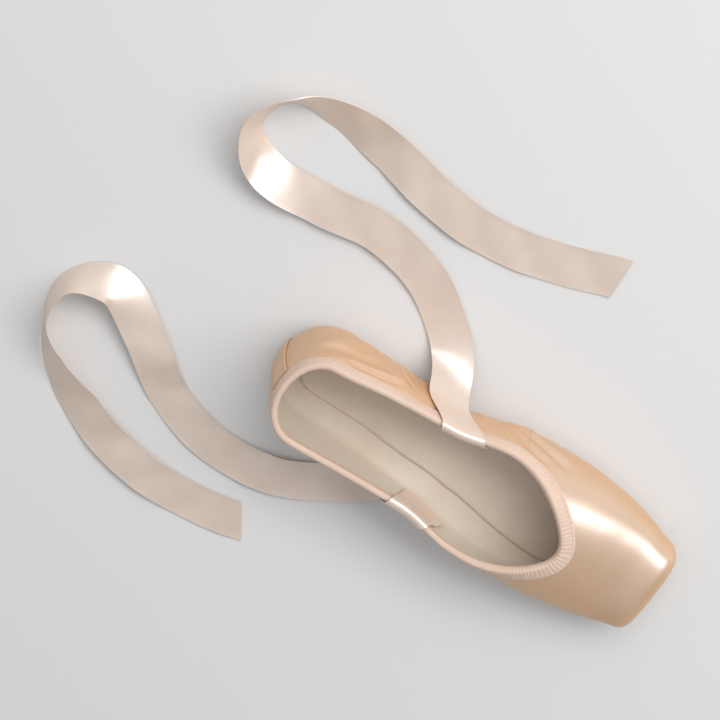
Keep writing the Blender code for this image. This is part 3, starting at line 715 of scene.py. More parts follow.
@dataclass(frozen=True)
class Finish:
    """A cloth or leather finish: two tones, its gloss, its weave or grain and its sheen."""

    name: str
    light: Colour
    deep: Colour
    gloss: tuple[float, float]
    pattern: str = Cloth.SATIN.value
    measure: tuple[str, float] = ("Threads", 5000.0)
    relief: float = 0.00004
    coordinates: Coordinates = Coordinates.UV
    cloud: float = 0.018
    cloud_contrast: float = 1.5
    tone_share: float = 0.5
    sheen: float = 0.0
    specular: float = 0.5
    metallic: float = 0.0
    coat: tuple[float, float, float] = (0.0, 0.3, 1.5)
    coat_fades: float = 0.0
    crumple: float = 0.0
    crumple_size: float = 0.004

    def material(self, kit: NodeKit) -> bpy.types.Material:
        """Makes the material.

        Args:
            kit: The shared node groups.

        Returns:
            The material, made once for each name.
        """
        if self.name in bpy.data.materials:
            return bpy.data.materials[self.name]
        material = bpy.data.materials.new(self.name)
        material.use_nodes = True
        tree = material.node_tree
        shader = tree.nodes["Principled BSDF"]
        source = tree.nodes.new("ShaderNodeTexCoord")
        place, solid = source.outputs[self.coordinates.value], source.outputs["Object"]
        weave = tree.nodes.new("ShaderNodeGroup")
        weave.node_tree = kit.groups[self.pattern]
        weave.inputs[self.measure[0]].default_value = self.measure[1]
        tree.links.new(place, weave.inputs["Vector"])
        cloud = tree.nodes.new("ShaderNodeGroup")
        cloud.node_tree = kit.groups["soft_variation"]
        cloud.inputs["Size"].default_value = self.cloud
        cloud.inputs["Contrast"].default_value = self.cloud_contrast
        tree.links.new(solid, cloud.inputs["Vector"])
        tone = kit.sum_of(tree, "MULTIPLY", weave.outputs["Shade"], 1 - self.tone_share)
        tone = kit.sum_of(tree, "MULTIPLY_ADD", cloud.outputs["Value"], self.tone_share, tone)
        mix = tree.nodes.new("ShaderNodeMix")
        mix.data_type, mix.clamp_factor = "RGBA", True
        tree.links.new(tone, mix.inputs["Factor"])
        mix.inputs[6].default_value, mix.inputs[7].default_value = self.deep, self.light
        tree.links.new(self.extra_colour(kit, tree, mix.outputs[2], source), shader.inputs["Base Color"])
        rough = tree.nodes.new("ShaderNodeMapRange")
        rough.inputs["To Min"].default_value, rough.inputs["To Max"].default_value = self.gloss
        tree.links.new(tone, rough.inputs["Value"])
        tree.links.new(rough.outputs["Result"], shader.inputs["Roughness"])
        bump = tree.nodes.new("ShaderNodeBump")
        bump.inputs["Strength"].default_value = 1.0
        bump.inputs["Distance"].default_value = self.relief
        tree.links.new(weave.outputs["Height"], bump.inputs["Height"])
        last_bump = bump
        if self.crumple:
            folds = kit.noise(tree, solid, 1 / self.crumple_size, 2.0)
            soft = tree.nodes.new("ShaderNodeBump")
            soft.inputs["Distance"].default_value = self.crumple
            soft.inputs["Strength"].default_value = 1.0
            tree.links.new(folds, soft.inputs["Height"])
            tree.links.new(soft.outputs["Normal"], bump.inputs["Normal"])
        tree.links.new(last_bump.outputs["Normal"], shader.inputs["Normal"])
        shader.inputs["Sheen Weight"].default_value = self.sheen
        shader.inputs["Sheen Roughness"].default_value = 0.35
        shader.inputs["Sheen Tint"].default_value = self.light
        shader.inputs["Specular IOR Level"].default_value = self.specular
        shader.inputs["Metallic"].default_value = self.metallic
        weight, roughness, index = self.coat
        shader.inputs["Coat Weight"].default_value = weight
        shader.inputs["Coat Roughness"].default_value = roughness
        shader.inputs["Coat IOR"].default_value = index
        if self.coat_fades:
            self.fade_gloss(tree, shader)
        return material

    def fade_gloss(self, tree: bpy.types.NodeTree, shader: bpy.types.Node) -> None:
        """Lets the satin's gloss fade where it turns away from the eye, as its floats lie along it.

        Args:
            tree: The material's nodes.
            shader: Its shader.
        """
        turned = tree.nodes.new("ShaderNodeLayerWeight")
        turned.inputs["Blend"].default_value = 0.5
        share = tree.nodes.new("ShaderNodeMapRange")
        share.interpolation_type = "SMOOTHSTEP"
        share.inputs["From Min"].default_value, share.inputs["From Max"].default_value = 0.10, 0.62
        share.inputs["To Min"].default_value = self.coat[0]
        share.inputs["To Max"].default_value = self.coat[0] * (1 - self.coat_fades)
        tree.links.new(turned.outputs["Facing"], share.inputs["Value"])
        tree.links.new(share.outputs["Result"], shader.inputs["Coat Weight"])

    def extra_colour(self, kit: NodeKit, tree: bpy.types.NodeTree, colour: object, source: bpy.types.Node) -> object:
        """The colour with whatever else is drawn on it. A plain finish leaves it as it is."""
        return colour


@dataclass(frozen=True)
class ScoredLeather(Finish):
    """Sole leather with crossed score lines at the ball and the heel, and a darker pared edge."""

    score_colour: Colour = (0.36, 0.17, 0.07, 1)
    edge_colour: Colour = (0.42, 0.25, 0.14, 1)
    pitch: float = 0.0088
    line: float = 0.055
    lean: float = math.radians(33)
    margin: float = 0.0055

    def extra_colour(self, kit: NodeKit, tree: bpy.types.NodeTree, colour: object, source: bpy.types.Node) -> object:
        """Draws the score lines and shades the edge.

        Args:
            kit: The shared node groups.
            tree: The material's nodes.
            colour: The leather's own colour.
            source: The coordinates.

        Returns:
            The colour with the lines on it.
        """
        sum_of = kit.sum_of
        parts = tree.nodes.new("ShaderNodeSeparateXYZ")
        tree.links.new(source.outputs["Object"], parts.inputs[0])
        wobble = sum_of(tree, "MULTIPLY", kit.noise(tree, source.outputs["Object"], 160.0, 2.0), 0.0011)
        lines = None
        for turn in (self.lean, -self.lean):
            across = sum_of(tree, "MULTIPLY", parts.outputs["X"], math.sin(turn))
            across = sum_of(tree, "ADD", sum_of(tree, "MULTIPLY_ADD", parts.outputs["Y"], math.cos(turn), across), wobble)
            near = sum_of(tree, "PINGPONG", sum_of(tree, "DIVIDE", across, self.pitch), 0.5)
            mask = self.step(tree, near, self.line, self.line * 0.35)
            lines = mask if lines is None else sum_of(tree, "MAXIMUM", lines, mask)
        zones = None
        for start, end in ((0.014, 0.094), (-0.106, -0.062)):
            middle, half = (start + end) / 2, (end - start) / 2
            reach = sum_of(tree, "ABSOLUTE", sum_of(tree, "SUBTRACT", parts.outputs["X"], middle))
            zone = self.step(tree, reach, half, half - 0.0008)
            zones = zone if zones is None else sum_of(tree, "MAXIMUM", zones, zone)
        rim = tree.nodes.new("ShaderNodeAttribute")
        rim.attribute_name = "from_edge"
        inner = self.step(tree, rim.outputs["Fac"], self.margin - 0.0004, self.margin + 0.0004)
        border = sum_of(tree, "ABSOLUTE", sum_of(tree, "SUBTRACT", rim.outputs["Fac"], self.margin))
        border = self.step(tree, border, 0.00055, 0.0002)
        drawn = sum_of(tree, "MULTIPLY", sum_of(tree, "MAXIMUM", sum_of(tree, "MULTIPLY", lines, inner), border), zones)
        drawn = sum_of(tree, "MULTIPLY", drawn, 0.8)
        edge = sum_of(tree, "MULTIPLY", self.step(tree, rim.outputs["Fac"], 0.0022, 0.0002), 0.55)
        for share, tint in ((edge, self.edge_colour), (drawn, self.score_colour)):
            mix = tree.nodes.new("ShaderNodeMix")
            mix.data_type = "RGBA"
            tree.links.new(share, mix.inputs["Factor"])
            tree.links.new(colour, mix.inputs[6])
            mix.inputs[7].default_value = tint
            colour = mix.outputs[2]
        return colour

    @staticmethod
    def step(tree: bpy.types.NodeTree, value: object, low: float, high: float) -> object:
        """A soft step from 0 at low to 1 at high. Low may be above high."""
        node = tree.nodes.new("ShaderNodeMapRange")
        node.interpolation_type = "SMOOTHSTEP"
        tree.links.new(value, node.inputs["Value"])
        node.inputs["From Min"].default_value, node.inputs["From Max"].default_value = min(low, high), max(low, high)
        ends = (0.0, 1.0) if low < high else (1.0, 0.0)
        node.inputs["To Min"].default_value, node.inputs["To Max"].default_value = ends
        return node.outputs["Result"]


# The pieces


class Fold(Enum):
    """How the satin is pressed along a crease."""

    TROUGH = "trough"
    RIDGE = "ridge"
    TUCK = "tuck"


@dataclass(frozen=True)
class Crease:
    """A fold placed as given.

    Its ends are given by the distance along the outline from the back of the heel and the height over the floor.
    side is 1 for the left, -1 for the right and 0 for both.
    """

    kind: Fold
    side: int
    start: tuple[float, float]
    end: tuple[float, float]
    width: float
    depth: float
    bow: float = 0.0

    def press(self, along: np.ndarray, height: np.ndarray) -> np.ndarray:
        """How far the crease moves each place out of the last, negative inwards."""
        axis = np.subtract(self.end, self.start)
        length = float(np.hypot(*axis))
        axis = axis / length
        dx, dz = along - self.start[0], height - self.start[1]
        share = (dx * axis[0] + dz * axis[1]) / length
        across = (dx * -axis[1] + dz * axis[0] - self.bow * 4 * share * (1 - share)) / self.width
        fade = soft_steps((share + 0.15) / 0.35) * soft_steps((1.15 - share) / 0.35)
        if self.kind is Fold.TROUGH:
            shape = -np.exp(-across**2) + 0.3 * np.exp(-(((np.abs(across) - 1.9) / 0.8) ** 2))
        elif self.kind is Fold.RIDGE:
            shape = np.exp(-across**2) - 0.2 * np.exp(-(((np.abs(across) - 1.8) / 0.8) ** 2))
        else:
            shape = 0.75 * np.exp(-(((across + 0.9) / 0.75) ** 2)) - np.exp(-(((across - 0.8) / 0.7) ** 2))
        return self.depth * fade * shape


@dataclass
class Piece:
    """What every sub-assembly shares: the last, the shared nodes and how a finished piece is handed over."""

    surface: LastSurface
    kit: NodeKit

    @property
    def last(self) -> Last:
        """The last that the shoe is made on."""
        return self.surface.last

    def hand_over(self, piece: bpy.types.Object, slot: str, node: str = "") -> bpy.types.Object:
        """Lets a piece ride on the shoe, in the place of a plain solid.

        Args:
            piece: The finished piece.
            slot: The record's material slot. Not used.
            node: The plain solid that it stands for, if any.

        Returns:
            The piece.
        """
        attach(piece, "root")
        if node:
            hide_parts(node)
        log.info("%s: %d faces", piece.name, len(piece.data.polygons))
        return piece


@dataclass
class Upper(Piece):
    """The satin upper: vamp, quarters, pleated toe and platform, with its wall and its cotton lining."""

    creases: tuple[Crease, ...] = ()
    heel_rows: int = 58
    body_step: float = 0.00082
    seam_step: float = 0.0004
    seam_at: float = 0.130
    seam_depth: float = 0.00045
    seam_width: float = 0.00055
    columns: int = 92
    tip_rows: int = 8
    platform_rows: int = 9
    pleats: int = 11
    pleat_depth: float = 0.00095
    pleat_hub: float = 0.190
    rim_calm: float = 0.0085
    ripple: float = 0.00016
    gathers: tuple[Crease, ...] = ()
    inner_rows: int = 3
    inner_columns: int = 2
    press_share: float = 0.72
    toe_ease: float = 0.006
    toe_rounds: int = 14

    def __post_init__(self) -> None:
        """Lays out the small gathers where the satin is pulled under the sole."""
        draw, gathers, at = np.random.default_rng(23), [], 0.016
        while at < 0.182:
            for side in (1, -1):
                start = at + draw.uniform(-0.002, 0.002)
                tall = draw.uniform(0.006, 0.013) * (1.2 if 0.080 < at < 0.132 else 0.42)
                lean = draw.uniform(-0.2, 0.7) * tall
                kind = Fold.TUCK if draw.random() < 0.5 else Fold.TROUGH
                size = draw.uniform(0.6, 1.0)
                gathers.append(Crease(
                    kind, side, (start, 0.0035), (start + lean, 0.005 + tall), 0.0011 * size + 0.0004, 0.00034 * size,
                ))
            at += draw.uniform(0.0042, 0.0085)
        for side in (1, -1):
            at = 0.058
            while at < 0.126:
                tall, size = draw.uniform(0.018, 0.028), draw.uniform(0.7, 1.1)
                lean = tall * draw.uniform(0.35, 0.75)
                gathers.append(Crease(
                    Fold.TROUGH if draw.random() < 0.75 else Fold.TUCK, side, (at, 0.006), (at + lean, 0.006 + tall),
                    0.0018 * size, 0.00046 * size, draw.uniform(0.0005, 0.0022),
                ))
                at += draw.uniform(0.0054, 0.0084)
        self.gathers = tuple(gathers)

    def stations(self) -> list[Rib]:
        """The ribs of half the upper, from the back of the heel to the middle of the platform."""
        last = self.last
        rows: list[Rib] = [(Station.HEEL, math.pi / 2 * i / self.heel_rows) for i in range(self.heel_rows)]
        x = last.heel_radius
        while x < last.tip_start - 0.0004:
            rows.append((Station.BODY, x))
            near = ease((abs(x - self.seam_at) - 0.0018) / 0.004)
            pleated = ease((x - last.sole_front + 0.012) / 0.006)
            step = self.seam_step + (self.body_step - self.seam_step) * near
            x += step * (1 - 0.35 * pleated)
        rows += [(Station.TIP, math.pi / 2 * i / self.tip_rows) for i in range(self.tip_rows + 1)]
        shares = np.linspace(1, 0, self.platform_rows + 1)[1:]
        return rows + [(Station.PLATFORM, float(share)) for share in shares]

    def row(self, station: Rib) -> np.ndarray:
        """A rib's points, closer together where it bends and under the toe."""
        curve = self.last.rib(station, count=420)
        steps = np.diff(curve, axis=0)
        length = np.maximum(np.linalg.norm(steps, axis=1), 1e-9)
        heading = steps / length[:, None]
        turn = np.arccos(np.clip((heading[1:] * heading[:-1]).sum(axis=1), -1, 1))
        weight = length + 0.004 * np.concatenate([[0], turn])
        if station[0] is not Station.HEEL:
            x = station[1] if station[0] is Station.BODY else self.last.length
            low = ease((x - self.last.sole_front + 0.014) / 0.012)
            under = np.clip((0.011 - curve[1:, 2]) / 0.008, 0, 1)
            weight = weight * (1 + 1.1 * low * under)
        measure = np.concatenate([[0], np.cumsum(weight)])
        return resample(curve, np.linspace(0, measure[-1], self.columns + 1), measure)

    def grid(self) -> tuple[np.ndarray, np.ndarray]:
        """The smooth left half of the upper, and the satin's own coordinates on it."""
        rows = self.stations()
        points = np.array([self.row(station) for station in rows])
        points[np.abs(points[..., 1]) < 1e-7, 1] = 0
        points = self.round_toe(points)
        plan = np.array([self.outline(station) for station in rows])
        along = distances(plan)
        rise = np.zeros(points.shape[:2])
        rise[:, 1:] = np.cumsum(np.linalg.norm(np.diff(points, axis=1), axis=2), axis=1)
        return points, np.stack([np.repeat(along[:, None], points.shape[1], axis=1), rise], axis=2)

    def round_toe(self, points: np.ndarray) -> np.ndarray:
        """Lets the satin run in a softer curve over the platform's edge than the last has."""
        ahead = points[:, :1, 0].mean(axis=1)
        free = soft_steps((ahead - self.last.tip_start + self.toe_ease) / 0.004)
        free[-3:] = 0
        free = free[:, None] * soft_steps((points[..., 2] - 0.008) / 0.006)
        for _ in range(self.toe_rounds):
            even_out = points.copy()
            even_out[1:-1] = (points[:-2] + 2 * points[1:-1] + points[2:]) / 4
            points = points + (even_out - points) * free[..., None]
        return points

    def outline(self, station: Rib) -> np.ndarray:
        """Where a rib stands on the shoe's outline seen from above."""
        kind, at = station
        last = self.last
        if kind is Station.HEEL:
            return last.heel_rib(at, np.array([math.pi / 2]))[0] * (1, 1, 0)
        if kind is Station.BODY:
            return np.array([at, last.lines["width"](at), 0])
        shrink = at if kind is Station.PLATFORM else 1.0
        turn = at if kind is Station.TIP else math.pi / 2
        width = last.lines["width"](last.length) * shrink
        return np.array([last.tip_start + last.tip_rounding * math.sin(turn), width, 0])

    @staticmethod
    def normals(points: np.ndarray) -> np.ndarray:
        """The directions out of a grid of points."""
        out = unit(np.cross(np.gradient(points, axis=0), np.gradient(points, axis=1)))
        out[-1] = (1, 0, 0)
        middle = points[..., 1] == 0
        out[middle, 1] = 0
        return unit(out)

    def fade(self, points: np.ndarray, cloth: np.ndarray) -> np.ndarray:
        """Where the satin is free: not under the binding, the heel strip or the outsole."""
        last, rows = self.last, self.stations()
        free = np.ones(points.shape[:2])
        top = cloth[:, -1:, 1] - cloth[..., 1]
        open_rows = np.array([last.is_open(station) for station in rows])[:, None]
        free *= np.where(open_rows, soft_steps((top - self.rim_calm + 0.003) / 0.006), 1.0)
        edge = np.hypot(np.maximum(points[..., 0] - last.throat, 0), points[..., 1])
        free *= np.where(open_rows, 1.0, soft_steps((edge - self.rim_calm + 0.003) / 0.006)
                         ** (points[..., 2] > 0.030))
        free *= soft_steps((cloth[..., 0] - 0.0072) / 0.003)
        halves = np.array([
            last.sole_half(min(max(float(x), last.sole_back), last.sole_front)) for x in points[:, 0, 0]
        ])[:, None]
        low = points[..., 2] < 0.0125
        outside = soft_steps((np.abs(points[..., 1]) - halves + 0.0004) / 0.0022)
        ahead = soft_steps((points[..., 0] - last.sole_front + 0.0002) / 0.002)
        return free * np.where(low, np.maximum(outside, ahead), 1.0)

    def press(self, points: np.ndarray, cloth: np.ndarray, side: int) -> np.ndarray:
        """How far the satin stands off the last: creases, side seam, gathers at the sole and pleats at the toe."""
        along, height = cloth[..., 0], points[..., 2]
        lift = np.zeros(points.shape[:2])
        for crease in self.creases + self.gathers:
            if crease.side in (0, side):
                lift += crease.press(along, height)
        lift += self.wrinkles(along, height, side)
        low_edge = soft_steps((0.050 - height) / 0.004)
        off = (points[..., 0] - self.seam_at - 0.05 * (height - 0.02)) / self.seam_width
        lift += self.seam_depth * low_edge * (0.35 * np.exp(-(((np.abs(off) - 2.6) / 1.5) ** 2)) - np.exp(-off**2))
        lift *= self.ribbon_calm(points)
        lift += self.toe_pleats(points[..., 0], points[..., 1] * side, height)
        lift *= self.fade(points, cloth)
        room = self.press_share * self.walls(points)
        return np.where(lift < 0, -room * np.tanh(-lift / room), lift)

    def walls(self, points: np.ndarray) -> np.ndarray:
        """The wall's thickness at each point of a grid."""
        return np.array([self.last.wall(float(x)) for x in points[..., 0].ravel()]).reshape(points.shape[:2])

    def ribbon_calm(self, points: np.ndarray) -> np.ndarray:
        """Where a ribbon lies over the satin, its creases are pressed flat."""
        x, z = points[..., 0], points[..., 2]
        near = soft_steps((x - 0.060) / 0.008) * soft_steps((0.122 - x) / 0.008) * soft_steps((z - 0.016) / 0.006)
        return 1 - 0.92 * near

    def wrinkles(self, along: np.ndarray, height: np.ndarray, side: int) -> np.ndarray:
        """The satin's slight unevenness, never the same on both sides."""
        total = np.zeros(along.shape)
        draw = np.random.default_rng(7 + side)
        for _ in range(9):
            turn, length, shift = draw.uniform(0.3, 1.25), draw.uniform(0.008, 0.026), draw.uniform(0, 6.28)
            total += np.sin(6.283 * (along * math.cos(turn) + height * math.sin(turn)) / length + shift)
        quarter = 1 - 0.75 * soft_steps((along - 0.150) / 0.03)
        return self.ripple / 3 * total * quarter

    def toe_pleats(self, x: np.ndarray, y: np.ndarray, height: np.ndarray) -> np.ndarray:
        """The satin's pleats under the toe, laid one over the next and fanning out from under the sole's front."""
        last = self.last
        angle = np.arctan2(y, x - self.pleat_hub)
        drift = angle * 0.94 + 0.05 * np.sin(5.1 * angle + 0.7)
        phase = (drift / (math.pi * 0.62) + 0.5) * self.pleats
        part = phase - np.floor(phase)
        lap = np.where(part < 0.82, part / 0.82, (1 - part) / 0.18) - 0.5
        draw = np.random.default_rng(11).uniform(0.65, 1.15, self.pleats * 4)
        size = draw[np.clip(np.floor(phase).astype(int) + self.pleats, 0, len(draw) - 1)]
        reach = soft_steps((x - last.sole_front - 0.0002) / 0.003) * soft_steps((last.tip_start + 0.003 - x) / 0.008)
        side = soft_steps((x - 0.186) / 0.010) * soft_steps((0.0115 - height) / 0.006)
        return self.pleat_depth * lap * size * np.maximum(reach * soft_steps((0.0125 - height) / 0.007), 0) * side

    def build(self, materials: Sequence[bpy.types.Material]) -> bpy.types.Object:
        """Lays the satin over the last and gives it its wall.

        Args:
            materials: The satin, its lining and the platform's satin.

        Returns:
            The upper as one closed shell, satin outside and cotton inside.
        """
        points, cloth = self.grid()
        out = self.normals(points)
        if (out[5, 40] * (points[5, 40] - (0.03, 0, 0.02))).sum() < 0:
            out = -out
        out[-1] = (1, 0, 0)
        shift = self.last.shift
        halves = []
        lifts = {side: self.press(points, cloth, side) for side in (1, -1)}
        shared = np.exp(-((points[..., 1] / 0.006) ** 2))
        for side, lift in lifts.items():
            lift = lift + (lifts[-side] - lift) * shared / 2
            placed = (points + out * lift[..., None]) * (1, side, 1)
            placed[points[..., 1] == 0, 1] = 0
            halves.append(lay_grid(f"half_{side}", placed + shift, cloth))
        skin = join(halves, "satin_upper")
        weld(skin)
        self.line_with(skin, points, out, cloth)
        for material in materials:
            skin.data.materials.append(material)
        platform = self.last.length + shift[0] - 0.0004
        for face in skin.data.polygons:
            lined = face.material_index
            face.material_index = 1 if lined else 2 if face.center.x > platform else 0
        return skin

    def line_with(self, skin: bpy.types.Object, points: np.ndarray, out: np.ndarray, cloth: np.ndarray) -> None:
        """Sews a coarser lining into the skin, along the collar and along the edge under the foot.

        Args:
            skin: The satin outside, welded.
            points: The smooth left half.
            out: The directions out of it.
            cloth: The satin's coordinates.
        """
        rows = sorted({*range(0, len(points), self.inner_rows), len(points) - 1})
        columns = sorted({*range(0, points.shape[1], self.inner_columns), points.shape[1] - 1})
        inner = (points - out * self.walls(points)[..., None])[np.ix_(rows, columns)]
        inner[points[np.ix_(rows, columns)][..., 1] == 0, 1] = 0
        halves = [lay_grid(f"lining_{s}", inner * (1, s, 1) + self.last.shift, cloth[np.ix_(rows, columns)]) for s in (1, -1)]
        lining = join(halves, "lining")
        weld(lining)
        only(lining)
        bpy.ops.object.mode_set(mode="EDIT")
        bpy.ops.mesh.select_all(action="SELECT")
        bpy.ops.mesh.flip_normals()
        bpy.ops.object.mode_set(mode="OBJECT")
        for piece, index in ((skin, 0), (lining, 1)):
            layer = piece.data.attributes.new("lined", "INT", "FACE")
            layer.data.foreach_set("value", np.full(len(piece.data.polygons), index, np.int32))
        join([skin, lining], skin.name)
        self.close_edge(skin, above=True)
        self.close_edge(skin, above=False)
        lined = np.empty(len(skin.data.polygons), np.int32)
        skin.data.attributes["lined"].data.foreach_get("value", lined)
        skin.data.polygons.foreach_set("material_index", lined)
        skin.data.attributes.remove(skin.data.attributes["lined"])

    def close_edge(self, skin: bpy.types.Object, above: bool) -> None:
        """Joins satin and lining along one open edge: the collar above or the edge under the foot."""
        only(skin)
        mesh = skin.data
        loops = np.empty(len(mesh.loops), int)
        mesh.loops.foreach_get("edge_index", loops)
        count = np.bincount(loops, minlength=len(mesh.edges))
        bpy.ops.object.mode_set(mode="EDIT")
        bpy.ops.mesh.select_mode(type="EDGE")
        bpy.ops.mesh.select_all(action="DESELECT")
        bpy.ops.object.mode_set(mode="OBJECT")
        for edge in mesh.edges:
            height = (mesh.vertices[edge.vertices[0]].co.z + mesh.vertices[edge.vertices[1]].co.z) / 2
            edge.select = bool(count[edge.index] == 1 and (height > 0.025) == above)
        bpy.ops.object.mode_set(mode="EDIT")
        bpy.ops.mesh.bridge_edge_loops()
        bpy.ops.mesh.select_mode(type="VERT")
        bpy.ops.object.mode_set(mode="OBJECT")

    def dress(self, satin: Finish, lining: Finish, tip: Finish) -> bpy.types.Object:
        """Builds the upper and gives it its finishes.

        Args:
            satin: The outside.
            lining: The inside.
            tip: The satin over the platform.

        Returns:
            The finished upper.
        """
        upper = self.build([finish.material(self.kit) for finish in (satin, lining, tip)])
        smooth(upper, 60)
        return self.hand_over(upper, "satin", "upper")


@dataclass
class RimPlace:
    """One place on the collar's edge: where it is, out of the wall, away from the opening, and the wall there."""

    point: Vector
    tangent: Vector
    out: Vector
    away: Vector
    wall: float


@dataclass
class Rim:
    """The collar's edge, which the binding and the ribbons go over."""

    surface: LastSurface
    softness: int = 180

    def edge(self, count: int) -> np.ndarray:
        """Even places round the whole collar, from the back of the heel over the left side."""
        last = self.surface.last
        rows: list[Rib] = [(Station.HEEL, math.pi / 2 * i / 60) for i in range(60)]
        reach = last.throat - last.throat_depth
        rows += [(Station.BODY, float(x)) for x in np.linspace(last.heel_radius, reach, 120)[:-1]]
        shares = np.linspace(0, 1, 160)
        rows += [(Station.BODY, float(last.throat - last.throat_depth * (1 - t) ** 2.2)) for t in shares]
        half = np.array([last.rib(station, count=3)[-1] for station in rows])
        half[0, 1] = half[-1, 1] = 0
        along = distances(half)
        left = resample(half, np.linspace(0, along[-1], count // 2 + 1), along)
        return np.vstack([left, (left * (1, -1, 1))[-2:0:-1]])

    def place(self, point: Vector, tangent: Vector) -> RimPlace:
        """The frame at one place of the edge."""
        last = self.surface.last
        _, out = self.surface.nearest(point)
        away = tangent.cross(out).normalized()
        front = point.x >= last.throat - 0.01
        if (away.x < 0) if front else (away.z > 0):
            away = -away
        return RimPlace(point, tangent, out, away, last.wall(point.x))

    def places(self, count: int) -> list[RimPlace]:
        """Frames at even places round the whole collar, which turn softly where the heel's arc meets the side."""
        edge = [Vector(p) for p in self.edge(count)]
        reach = max(1, count // self.softness)
        return [self.place(p, (edge[(i + reach) % count] - edge[i - reach]).normalized()) for i, p in enumerate(edge)]


@dataclass
class Binding(Piece):
    """The gathered tape over the collar's edge, with the drawstring's tunnel in it and its row of stitches."""

    stations: int = 1800
    leg: float = 0.0070
    leg_rows: int = 9
    crest: float = 0.0012
    tape: float = 0.0004
    close: float = 0.00008
    gather: float = 0.00025
    gather_length: float = 0.0019
    stitch_line: float = 0.0057
    stitch_step: float = 0.0030

    def swell(self, down: float) -> float:
        """How far the tape stands off the satin, at a distance from the collar's edge."""
        cord = 0.00032 * math.exp(-((max(down - 0.0012, 0) / 0.0020) ** 2))
        seam = -0.00022 * math.exp(-(((down - self.stitch_line) / 0.0006) ** 2))
        hem = 1 - 0.45 * ease((down - self.leg + 0.0008) / 0.0008)
        return (self.tape + 0.0002) * hem + cord + seam

    def gathers(self, count: int, length: float, front: np.ndarray) -> tuple[np.ndarray, np.ndarray]:
        """The phase and the strength of the tape's gathers round the collar."""
        draw = np.random.default_rng(5)
        step = length / count
        angle = np.linspace(0, 2 * math.pi, count, endpoint=False)
        jitter = sum(
            draw.uniform(0.05, 0.16) * np.sin(k * angle + draw.uniform(0, 6.28)) for k in (7, 13, 22, 31, 43)
        )
        size = self.gather_length * (1 + 0.9 * (1 - front)) * (1 + jitter)
        turns = np.cumsum(step / size)
        turns *= round(turns[-1]) / turns[-1]
        swell = 0.75 + sum(0.12 * np.sin(k * angle + draw.uniform(0, 6.28)) for k in (19, 37, 58, 71))
        return 2 * math.pi * turns, swell * (0.30 + 0.70 * front)

    def build(self) -> tuple[bpy.types.Object, list[tuple[Vector, Vector, Vector]]]:
        """Folds the tape over the edge.

        Returns:
            The binding and the places of its stitches.
        """
        places = Rim(self.surface).places(self.stations)
        length = sum((b.point - a.point).length for a, b in zip(places, places[1:] + places[:1]))
        xs = np.array([p.point.x for p in places])
        front = soft_steps((xs - self.last.throat + 0.058) / 0.05)
        phase, strength = self.gathers(len(places), length, front)
        rings, stitches, sewn = [], [], 0.0
        downs = [self.leg * k / self.leg_rows for k in range(self.leg_rows + 1)]
        for i, rim in enumerate(places):
            legs = [(rim.point, rim.out)]
            heading = rim.away
            for _ in range(self.leg_rows):
                q, n = legs[-1]
                heading = (heading - n * heading.dot(n)).normalized()
                legs.append(self.surface.nearest(q + heading * (self.leg / self.leg_rows)))
            lifts = []
            for down in downs:
                share = down / self.leg
                slant = 0.8 * math.sin(0.37 * phase[i]) * share
                pull = 0.35 + 0.65 * math.sin(math.pi * min(1.0, 0.2 + 0.8 * share)) ** 0.7
                wave = 0.5 + 0.5 * math.sin(phase[i] + slant)
                lifts.append(self.gather * strength[i] * pull * wave**1.4)
            offs = [self.swell(d) + lift for d, lift in zip(downs, lifts)]
            outer = [q + n * off for (q, n), off in zip(reversed(legs), reversed(offs))]
            inner = [q - n * (rim.wall + off) for (q, n), off in zip(legs, offs)]
            middle = rim.point - rim.out * (rim.wall / 2)
            tall, wide = self.crest + 0.5 * lifts[0], rim.wall / 2 + offs[0]
            crest = [
                middle + rim.out * (wide * math.sin(a)) - rim.away * (tall * math.cos(a))
                for a in np.radians((66, 40, 14, -14, -40, -66))
            ]
            back = legs[-1:0:-2]
            tunnel = [q - n * (rim.wall + self.close) for q, n in back]
            tunnel += [middle - rim.out * (rim.wall / 2 + 0.0001) - rim.away * 0.0002]
            tunnel += [middle + rim.out * (rim.wall / 2 + 0.0001) - rim.away * 0.0002]
            tunnel += [q + n * self.close for q, n in reversed(back)]
            ring = outer + crest + inner + tunnel
            rings.append(ring + ring[:1])
            sewn += length / len(places)
            if sewn >= self.stitch_step:
                sewn -= self.stitch_step
                k = round(self.stitch_line / self.leg * self.leg_rows)
                q, n = legs[k]
                stitches.append((q + n * (offs[k] + 0.00008) + Vector(self.last.shift), rim.tangent, n))
        points = np.array(rings + rings[:1]) + self.last.shift
        around = np.linspace(0, length, len(points))
        down = distances(points[len(points) // 3])
        cloth = np.stack(np.meshgrid(around, down, indexing="ij"), axis=2)
        binding = lay_grid("gathered_binding", points, cloth)
        weld(binding)
        return binding, stitches

    def dress(self, tape: Finish, thread: Finish) -> None:
        """Builds the binding with its stitches and gives them their finishes."""
        binding, stitches = self.build()
        binding.data.materials.append(tape.material(self.kit))
        smooth(binding, 70)
        self.hand_over(binding, "binding_tape", "binding")
        sewing = Stitch(length=0.0021, radius=0.00017).sew("binding_stitches", stitches)
        sewing.data.materials.append(thread.material(self.kit))
        self.hand_over(sewing, "binding_tape")


